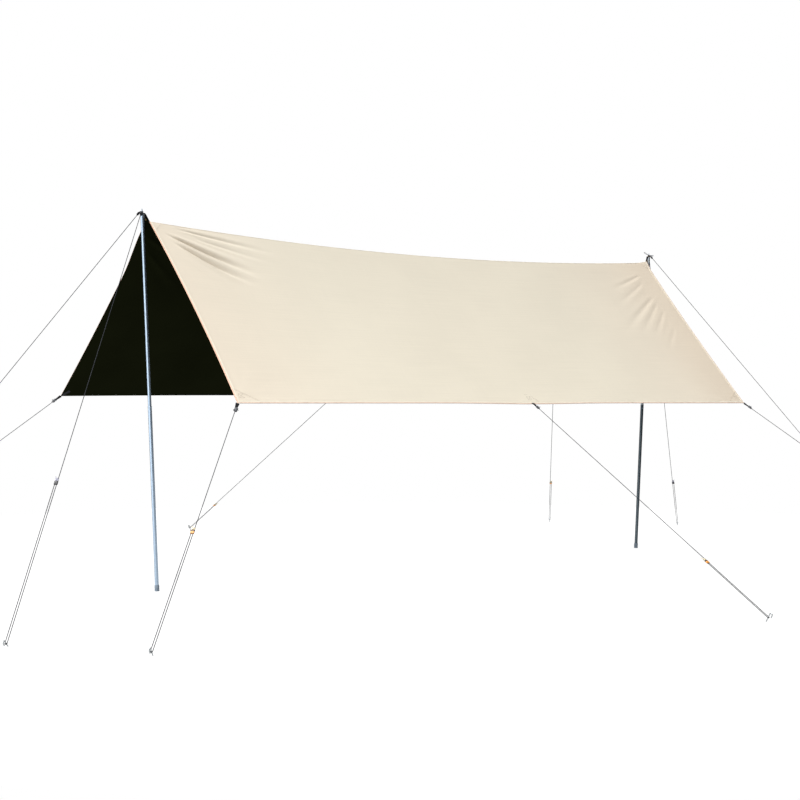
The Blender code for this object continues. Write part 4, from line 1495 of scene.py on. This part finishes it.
def pole_guys():
    """Guy lines of the pole tips, each with the points of its eye."""
    made = []
    first_loop = STRAP_LIFT + WEBBING_THICKNESS + EYELET_RISE + TOUCH + CORD_RADIUS
    last_out, last_drop = PIN_LEG[-1]
    for name, ground, runner_distance, level in POLE_GUYS:
        pole = POLES[name.split("_")[0]]
        centre = pole.at(pole.length + first_loop + level * LOOP_STEP)
        outward = unit((np.array(ground) - centre) * (1.0, 1.0, 0.0))
        across = unit(np.cross(outward, UP))
        guy = Guy(name, centre + outward * last_out - UP * last_drop, ground, runner_distance)
        legs = []
        for side in (-1.0, 1.0):
            leg = []
            for out, drop in PIN_LEG[1:]:
                half = TURN_RADIUS * (1.0 - PIN_LEG_CLOSING * (out / last_out) ** 2)
                leg.append(centre + outward * out + across * side * half - UP * drop)
            legs.append(leg)
        bend = []
        for sine, cosine in half_turn(HALF_TURN_STEPS):
            bend.append(centre - outward * TURN_RADIUS * sine - across * TURN_RADIUS * cosine)
        guy.tied(guy.start, across, legs[0][::-1] + bend, legs[1], POLE_EYE_LENGTH)
        # The back pole's knots take the paler grey cord: a painted highlight
        guy.knot_finish = 0 if pole.end == "front" else 1
        guy.knot = POLE_KNOT
        made.append(guy)
    return made


def hem_ties():
    """Edge point of the sheet at each tab, the sheet's normal, and its place in the cloth."""
    middle_ridge = (RIDGE_FRONT + RIDGE_BACK) / 2 - UP * RIDGE_SAG
    ties = {}
    for side, front, back, middle_x, s in (
        ("near", NEAR_FRONT, NEAR_BACK, NEAR_MIDDLE_X, -NEAR_SLOPE),
        ("far", FAR_FRONT, FAR_BACK, FAR_MIDDLE_X, FAR_SLOPE),
    ):
        share = (middle_x - front[0]) / (back[0] - front[0])
        middle = front * (1.0 - share) + back * share
        normal = unit(np.cross(front - back, middle - middle_ridge))
        normal = normal if normal[2] > 0.0 else -normal
        ties[f"{side}_front_corner"] = (front, normal, (0.0, s))
        ties[f"{side}_middle"] = (middle, normal, (SHEET_LENGTH * share, s))
        ties[f"{side}_back_corner"] = (back, normal, (SHEET_LENGTH, s))
    return ties


def hem_guys():
    """Guy lines of the hems, each with its tab and the points of its eye."""
    ties = hem_ties()
    made = []
    for name, ground, runner_distance in HEM_GUYS:
        edge, normal, place = ties[name]
        edge = edge - UP * 0.0015
        guy = Guy(name, edge, ground, runner_distance)
        across = unit(np.cross(guy.direction, normal))
        guy.place = np.array(place)
        guy.root = edge + guy.direction * TAB_STANDOFF
        tie = guy.root + guy.direction * TAB_LENGTH
        legs = []
        for side in (-1.0, 1.0):
            halves = [(out, side * (TAB_EYE_WIDTH / 2 + past)) for out, past in TAB_LEG]
            legs.append([tie + guy.direction * out + across * half for out, half in halves])
        guy.tied(tie, across, legs[0], legs[1][::-1], HEM_EYE_LENGTH)
        guy.knot_finish = 1
        guy.knot = HEM_KNOT
        made.append(guy)
    return made


# Hem tabs, in the looks: webbing layer, gap between the layers, and the piece of
# webbing under the sheet, with its direction in the cloth for each place
TAB_LAYER = 0.0011
TAB_GAP = 0.0013
TAB_ANCHOR_LENGTH = 0.065
TAB_ANCHOR_STEPS = {"front": (0.70, 0.71), "middle": (0.0, 1.0), "back": (-0.70, 0.71)}
TAB_ANCHOR_INSET = 0.002


def tab_run():
    """Side view of a folded tab: out from the sheet, round the cord's eye and back."""
    straight = TAB_LENGTH - TAB_FOLD_LENGTH
    fold = EYE_RADIUS + TAB_LAYER / 2
    out = [(along, TAB_GAP / 2) for along in (-0.001, 0.012, 0.030, straight)]
    back = [(along, -rise) for along, rise in out[::-1]]
    bend = []
    for i in range(13):
        angle = math.radians(130.0 - 260.0 * i / 12)
        bend.append((TAB_LENGTH + fold * math.cos(angle), fold * math.sin(angle)))
    return softened(out + bend + back)


def make_hem_tabs(cloth, trim):
    """Folded webbing at the corners and the middle of the hems."""
    tarp = Tarp(cloth)
    webbing = black_webbing(trim)
    run = tab_run()
    share = np.clip(run[:, 0] / (TAB_LENGTH - TAB_FOLD_LENGTH), 0.0, 1.0)
    halves = (TAB_WIDTH + (TAB_EYE_WIDTH - TAB_WIDTH) * share) / 2
    for guy in hem_guys():
        normal = np.cross(guy.across, guy.direction)
        shape = Shape()
        points = [guy.root + guy.direction * along + normal * height for along, height in run]
        ribbon(shape, points, guy.across, halves, TAB_LAYER)
        step = np.array(TAB_ANCHOR_STEPS[guy.name.split("_")[1]])
        step[1] = -step[1] if guy.place[1] > 0.0 else step[1]
        aside = np.array((-step[1], step[0])) * TAB_WIDTH / 2
        ahead = step * TAB_ANCHOR_LENGTH
        corners = (-aside, ahead - aside, ahead + aside, aside)
        x, s = quad_grid([guy.place + corner for corner in corners], 4, 8)
        x = np.clip(x, TAB_ANCHOR_INSET, SHEET_LENGTH - TAB_ANCHOR_INSET)
        s = np.clip(s, -NEAR_SLOPE + TAB_ANCHOR_INSET, FAR_SLOPE - TAB_ANCHOR_INSET)
        tarp.layer(shape, x, s, -CLOTH_THICKNESS - 0.0001, -CLOTH_THICKNESS - 0.0014)
        shape.piece(f"{guy.name}_webbing", (webbing,), "tab_webbing", f"{guy.name}_tab")


def slide_range(name):
    """How far an adjuster slides, from the frame's own joint."""
    for joint in frame["joints"]:
        if joint["name"] == f"{name}_slide":
            return max(abs(limit) for limit in joint["range_m"])
    raise RuntimeError(f"the frame has no joint {name}_slide")


def make_lines(cords):
    """Guy lines with their eyes, turns round the pegs and the tails to the adjusters."""
    cord = kept("grey_guy_cord", braided_cord, cords.cord_colour, cords)
    for guy in pole_guys() + hem_guys():
        turn = []
        for sine, cosine in half_turn(HALF_TURN_STEPS):
            turn.append(guy.at(-TURN_RADIUS * sine, TURN_RADIUS - TURN_RADIUS * cosine))
        line = Shape()
        line.tube(np.vstack((softened(guy.eye), turn)), CORD_RADIUS, 12)
        line.piece(f"{guy.name}_line", (cord,), "guy_cord", f"{guy.name}_guy")
        tail_end = guy.runner_distance + RUNNER_LENGTH * 0.25
        run = Shape()
        run.tube([guy.at(0.0, 2 * TURN_RADIUS), guy.at(tail_end, 2 * TURN_RADIUS)], CORD_RADIUS, 12)
        tail = run.piece(f"{guy.name}_tail", (cord,), "guy_cord")
        keep = (tail_end - slide_range(guy.name)) / tail_end
        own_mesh(tail)


def barrel_knot(shape, centre, direction, side, size, turns, finish=0, taper=1.0):
    """Cord wound round the strands, its ends tucked in."""
    half_width, half_thickness, length, radius = size
    above = np.cross(side, direction)
    steps = int(turns * 16)
    points = []
    for i in range(steps + 1):
        t = i / steps
        angle = 2.0 * math.pi * turns * t
        tuck = 1.0 - 0.30 * (eased(1.0 - t * 14.0) + eased(1.0 - (1.0 - t) * 14.0))
        wide = half_width * (1.0 + (taper - 1.0) * t) * tuck
        place = centre + direction * (length - 2 * radius) * (t - 0.5)
        place = place + side * wide * math.cos(angle)
        points.append(place + above * half_thickness * tuck * math.sin(angle))
    shape.tube(points, radius, 8, finish)


def cord_loop(shape, start, reach, finish):
    """Slack bight of cord that leaves a knot and comes back to it."""
    aside = np.cross(unit(reach), ALONG) * LOOP_WIDTH
    points = []
    for i in range(17):
        t = i / 16
        points.append(start + reach * math.sin(math.pi * t) + aside * math.sin(2.0 * math.pi * t))
    shape.tube(points, CORD_RADIUS, 10, finish)


def make_knots(cords):
    """Wraps of cord that close the eyes, with the cut ends of their cords."""
    dark = kept("dark_knot_cord", braided_cord, cords.knot_colour, cords)
    grey = kept("grey_knot_cord", braided_cord, cords.tie_knot_colour, cords)
    # The pale cord of the back pole's loops is a painted highlight
    pale = kept("pale_knot_cord", braided_cord, cords.loop_painted_highlight_colour, cords)
    for guy in pole_guys() + hem_guys():
        size, turns, taper, past_tie, tail_reach = guy.knot
        above = np.cross(guy.across, guy.direction)
        above = above * math.copysign(1.0, above[2])
        shape = Shape()
        centre = guy.tie + guy.direction * past_tie - guy.across * STRAND_STEP / 2
        barrel_knot(shape, centre, guy.direction, guy.across, size, turns, guy.knot_finish, taper)
        start = centre - guy.across * 0.004
        tail = []
        for i in range(9):
            t = i / 8
            bend = above * 0.6 * t - guy.across * (1.0 - 0.3 * t)
            tail.append(start + bend * tail_reach * t + guy.direction * 0.006 * t * t)
        shape.tube(tail, CORD_RADIUS * 0.95, 10, guy.knot_finish)
        if guy.name == "back_near":
            pin = POLES["back"].at(POLES["back"].length + LOOP_PLACE)
            for reach in LOOP_REACHES:
                start = pin + unit(reach) * (WIRE_RADIUS + CORD_RADIUS)
                cord_loop(shape, start, reach - unit(reach) * 0.004, 2)
        shape.piece(f"{guy.name}_knot", (dark, grey, pale), "guy_cord")


# Adjusters

def add_slider(guy, part, reach, material, slot, *nodes):
    """Rounded bar with two bores, between two heights over the adjuster's lower end."""
    name = f"{guy.name}_{part}"
    first, last = reach
    edge = 0.0007
    curve = bpy.data.curves.new(name, "CURVE")
    curve.dimensions = "2D"
    curve.fill_mode = "BOTH"
    curve.extrude = (last - first) / 2 - edge
    curve.bevel_depth = edge
    curve.bevel_resolution = 3
    curve.offset = -edge
    corner = RUNNER_THICKNESS / 2
    flat = RUNNER_WIDTH / 2 - corner
    outline = []
    for side in (1.0, -1.0):
        for sine, cosine in half_turn(12):
            outline.append((side * (flat + corner * sine), -side * corner * cosine))
    loops = [outline]
    for middle in (-TURN_RADIUS, TURN_RADIUS):
        bore = circle((1.0, 0.0), (0.0, -1.0), 20) * (EYE_RADIUS + edge)
        loops.append([(middle + x, y) for x, y in bore])
    for loop in loops:
        spline = curve.splines.new("POLY")
        spline.points.add(len(loop) - 1)
        spline.use_cyclic_u = True
        for target, (x, y) in zip(spline.points, loop):
            target.co = (x, y, 0.0, 1.0)
    source = linked(name, curve)
    depsgraph = bpy.context.evaluated_depsgraph_get()
    mesh = bpy.data.meshes.new_from_object(source.evaluated_get(depsgraph))
    bpy.data.objects.remove(source, do_unlink=True)
    place = guy.at(guy.runner_distance + (first + last) / 2, TURN_RADIUS)
    mesh.transform(set_up(guy.side, guy.upward, guy.direction, place))
    mesh.materials.clear()
    if not mesh.uv_layers:
        mesh.uv_layers.new(name="metres")
    dressed(name, mesh, 40.0, (material,), nodes, f"{guy.name}_adjuster")


def add_slider_knot(guy, knot, material, slot):
    """Barrel knot round both strands over a slider, with the cord's cut end."""
    place, length = knot
    shape = Shape()
    centre = guy.at(guy.runner_distance + place, TURN_RADIUS)
    size = (SLIDER_KNOT_WIDTH, SLIDER_KNOT_THICKNESS, length, SLIDER_KNOT_CORD)
    barrel_knot(shape, centre, guy.direction, guy.side, size, length / SLIDER_KNOT_PITCH)
    start = guy.at(guy.runner_distance + place, 2 * TURN_RADIUS)
    stub = []
    for i in range(8):
        t = i / 7
        stub.append(start - guy.direction * 0.020 * t + guy.side * 0.007 * t * t)
    shape.tube(stub, CORD_RADIUS)
    shape.piece(f"{guy.name}_slider_knot", (material,), slot, body=f"{guy.name}_adjuster")


def make_adjusters(cords):
    """Plastic sliders, each with a knot of cord over it."""
    black = kept("black_slider_plastic", moulded_plastic, cords.dark_plastic_colour, 0.38)
    amber = kept("amber_slider_plastic", moulded_plastic, cords.amber_plastic_colour, 0.30)
    lavender_knot = kept("lavender_knot_cord", braided_cord, cords.pole_knot_colour, cords)
    # The cream knot over each amber slider is a painted highlight of the adjuster's top
    cream_knot = kept("cream_knot_cord", braided_cord, cords.hem_knot_colour, cords)
    for guy in pole_guys():
        add_slider(guy, "slider", POLE_SLIDER, black, "adjuster_dark", f"{guy.name}_guy_adjuster")
        add_slider_knot(guy, POLE_SLIDER_KNOT, lavender_knot, "adjuster_dark")
    for guy in hem_guys():
        add_slider(guy, "slider", HEM_SLIDER, amber, "adjuster_amber", f"{guy.name}_guy_adjuster")
        add_slider(guy, "collar", HEM_COLLAR, black, "adjuster_dark")
        add_slider_knot(guy, HEM_SLIDER_KNOT, cream_knot, "adjuster_amber")


# Pegs

def make_pegs(poles):
    """Wire hooks that stand in the ground."""
    wire = kept("zinc_peg_wire", zinc_wire, poles.peg_colour)
    sides = 20
    for guy in pole_guys() + hem_guys():
        upward = guy.peg_axis
        outward = unit(guy.direction - upward * guy.direction.dot(upward))
        top = guy.ground + upward * PEG_SHAFT_HEIGHT
        points = [guy.ground, guy.ground + upward * 0.020]
        for sine, cosine in half_turn(16):
            points.append(top + outward * PEG_HOOK_RADIUS * (1.0 - cosine) + upward * PEG_HOOK_RADIUS * sine)
        last = points[-1] - upward * PEG_TIP_LENGTH
        points += [last + upward * 0.0010, last]
        radii = [WIRE_RADIUS] * (len(points) - 1) + [WIRE_RADIUS - 0.0010]
        shape = Shape()
        shape.tube(points, radii, sides)
        for i in range(sides):
            x, y, z = shape.points[i]
            down = z / upward[2]
            shape.points[i] = (x - upward[0] * down, y - upward[1] * down, 0.0)
        shape.piece(f"{guy.name}_hook_peg", (wire,), "peg_steel", f"{guy.name}_guy_peg")


# Stage

def add_lamp(name, kind, settings, place, target):
    """Soft light turned to a target."""
    light = bpy.data.lights.new(name, kind)
    for setting, value in settings.items():
        setattr(light, setting, value)
    lamp = linked(name, light)
    lamp.visible_camera = False
    back = unit(np.array(place) - np.array(target))
    level = unit(np.cross(UP, back))
    lamp.matrix_world = set_up(level, np.cross(back, level), back, place)


def add_camera():
    """Camera of the photograph, and the directions that it looks in and to the right."""
    sine, cosine = math.sin(CAMERA_YAW), math.cos(CAMERA_YAW)
    flat = math.cos(CAMERA_PITCH)
    forward = np.array((sine * flat, cosine * flat, -math.sin(CAMERA_PITCH)))
    right = np.array((cosine, -sine, 0.0))
    up = np.cross(right, forward)
    level = math.cos(CAMERA_ROLL) * right + math.sin(CAMERA_ROLL) * up
    upright = -math.sin(CAMERA_ROLL) * right + math.cos(CAMERA_ROLL) * up
    lens = bpy.data.cameras.new("camera")
    lens.lens = LENS
    lens.sensor_width = SENSOR
    lens.clip_end = 200.0
    camera = linked("camera", lens)
    camera.matrix_world = set_up(level, upright, -forward, CAMERA_PLACE)
    bpy.context.scene.camera = camera
    return forward, right


def make_stage(stage):
    """Camera, soft light and a pale floor."""
    scene = bpy.context.scene
    scene.view_settings.view_transform = "Standard"
    forward, right = add_camera()

    scene.world = bpy.data.worlds.new("studio")
    graph = Graph(scene.world)
    sky = graph.nodes["Background"]
    direction = graph.node("ShaderNodeTexCoord", {}, {}, "Generated")
    glow = tuple(unit(UP * GLOW_UP - right * GLOW_LEFT - forward * GLOW_TO_CAMERA))
    towards = graph.node("ShaderNodeVectorMath", {"operation": "DOT_PRODUCT"}, {0: direction, 1: glow}, 1)
    strength = graph.held(towards, 0.05, 0.95, stage.low_light, stage.overhead_light)
    seen = graph.node("ShaderNodeLightPath", {}, {}, "Is Camera Ray")
    graph.feed(sky.inputs["Strength"], seen + (1.0 - seen) * strength)
    graph.feed(sky.inputs["Color"], (1.0, 1.0, 1.0))

    sun = {"energy": stage.key_strength, "angle": stage.key_spread}
    add_lamp("key", "SUN", sun, KEY_PLACE, KEY_TARGET)
    panel = {"energy": stage.panel_power, "shape": "RECTANGLE", "size": PANEL_WIDTH, "size_y": PANEL_HEIGHT}
    add_lamp("panel", "AREA", panel, PANEL_PLACE, PANEL_TARGET)

    bm = bmesh.new()
    bmesh.ops.create_circle(bm, cap_ends=True, segments=96, radius=stage.floor_radius)
    mesh = bpy.data.meshes.new("floor")
    bm.to_mesh(mesh)
    bm.free()
    mesh.materials.append(kept("pale_studio_floor", pale_floor, stage.floor_colour))
    floor = linked("floor", mesh)
    floor.location = FLOOR_MIDDLE


def declare_sheet():
    names = ["edge_piping", "edge_tape", "edge_under_band", "ridge_seam"]
    names += ["seam_stitching", "patch_stitching", "back_patch_stitching", "box_stitching"]
    names += [f"{name}_patch" for name, _ in PATCHES]


class TENT_OT_stage(bpy.types.Operator):
    """Set up the camera, the soft light and the floor"""

    bl_idname = "tent.stage"
    bl_label = "Stage"

    def execute(self, context):
        make_stage(context.scene.tent_stage)
        return {"FINISHED"}


class TENT_OT_sheet(bpy.types.Operator):
    """Make the folded sheet of tarp cloth"""

    bl_idname = "tent.sheet"
    bl_label = "Sheet"

    def execute(self, context):
        make_sheet(context.scene.tent_cloth)
        return {"FINISHED"}


class TENT_OT_edges(bpy.types.Operator):
    """Make the piping and tape along the edges"""

    bl_idname = "tent.edges"
    bl_label = "Edges"

    def execute(self, context):
        make_edges(context.scene.tent_cloth, context.scene.tent_trim)
        return {"FINISHED"}


class TENT_OT_patches(bpy.types.Operator):
    """Make the reinforcement patches"""

    bl_idname = "tent.patches"
    bl_label = "Patches"

    def execute(self, context):
        make_patches(context.scene.tent_cloth, context.scene.tent_trim)
        return {"FINISHED"}


class TENT_OT_stitching(bpy.types.Operator):
    """Sew the edges, the patches and the tabs"""

    bl_idname = "tent.stitching"
    bl_label = "Stitching"

    def execute(self, context):
        make_stitching(context.scene.tent_cloth, context.scene.tent_trim)
        return {"FINISHED"}


class TENT_OT_poles(bpy.types.Operator):
    """Make the two steel poles"""

    bl_idname = "tent.poles"
    bl_label = "Poles"

    def execute(self, context):
        for pole in POLES.values():
            make_pole(pole, context.scene.tent_poles)
        return {"FINISHED"}


class TENT_OT_ridge_straps(bpy.types.Operator):
    """Make the straps that hang the ridge on the poles"""

    bl_idname = "tent.ridge_straps"
    bl_label = "Ridge straps"

    def execute(self, context):
        scene = context.scene
        make_ridge_straps(scene.tent_cloth, scene.tent_trim, scene.tent_poles)
        return {"FINISHED"}


class TENT_OT_hem_tabs(bpy.types.Operator):
    """Make the webbing tabs of the hems"""

    bl_idname = "tent.hem_tabs"
    bl_label = "Hem tabs"

    def execute(self, context):
        make_hem_tabs(context.scene.tent_cloth, context.scene.tent_trim)
        return {"FINISHED"}


class TENT_OT_lines(bpy.types.Operator):
    """Make the guy lines and the knots of their eyes"""

    bl_idname = "tent.lines"
    bl_label = "Guy lines"

    def execute(self, context):
        make_lines(context.scene.tent_cords)
        make_knots(context.scene.tent_cords)
        return {"FINISHED"}


class TENT_OT_adjusters(bpy.types.Operator):
    """Make the adjusters of the guy lines"""

    bl_idname = "tent.adjusters"
    bl_label = "Adjusters"

    def execute(self, context):
        make_adjusters(context.scene.tent_cords)
        return {"FINISHED"}


class TENT_OT_pegs(bpy.types.Operator):
    """Make the wire pegs"""

    bl_idname = "tent.pegs"
    bl_label = "Pegs"

    def execute(self, context):
        make_pegs(context.scene.tent_poles)
        return {"FINISHED"}


OPERATORS = (
    TENT_OT_stage,
    TENT_OT_sheet,
    TENT_OT_edges,
    TENT_OT_patches,
    TENT_OT_stitching,
    TENT_OT_poles,
    TENT_OT_ridge_straps,
    TENT_OT_hem_tabs,
    TENT_OT_lines,
    TENT_OT_adjusters,
    TENT_OT_pegs,
)


class TENT_PT_pieces(bpy.types.Panel):
    """Lists the tent's settings and pieces"""

    bl_idname = "TENT_PT_pieces"
    bl_label = "Canopy tent"
    bl_space_type = "VIEW_3D"
    bl_region_type = "UI"
    bl_category = "Tent"

    def draw(self, context):
        for attribute, group in SETTINGS:
            box = self.layout.box()
            box.label(text=group.__doc__)
            for name in group.__annotations__:
                box.prop(getattr(context.scene, attribute), name)
        for operator in OPERATORS:
            self.layout.operator(operator.bl_idname)


def register():
    for attribute, group in SETTINGS:
        bpy.utils.register_class(group)
        setattr(bpy.types.Scene, attribute, PointerProperty(type=group))
    for operator in OPERATORS:
        bpy.utils.register_class(operator)
    bpy.utils.register_class(TENT_PT_pieces)


def unregister():
    bpy.utils.unregister_class(TENT_PT_pieces)
    for operator in reversed(OPERATORS):
        bpy.utils.unregister_class(operator)
    for attribute, group in reversed(SETTINGS):
        delattr(bpy.types.Scene, attribute)
        bpy.utils.unregister_class(group)


def main():
    register()
    bpy.ops.tent.stage()
    bpy.ops.tent.sheet()
    bpy.ops.tent.edges()
    bpy.ops.tent.patches()
    bpy.ops.tent.stitching()
    bpy.ops.tent.poles()
    bpy.ops.tent.ridge_straps()
    bpy.ops.tent.hem_tabs()
    bpy.ops.tent.lines()
    bpy.ops.tent.adjusters()
    bpy.ops.tent.pegs()
    declare_sheet()


if __name__ == "__main__":
    main()
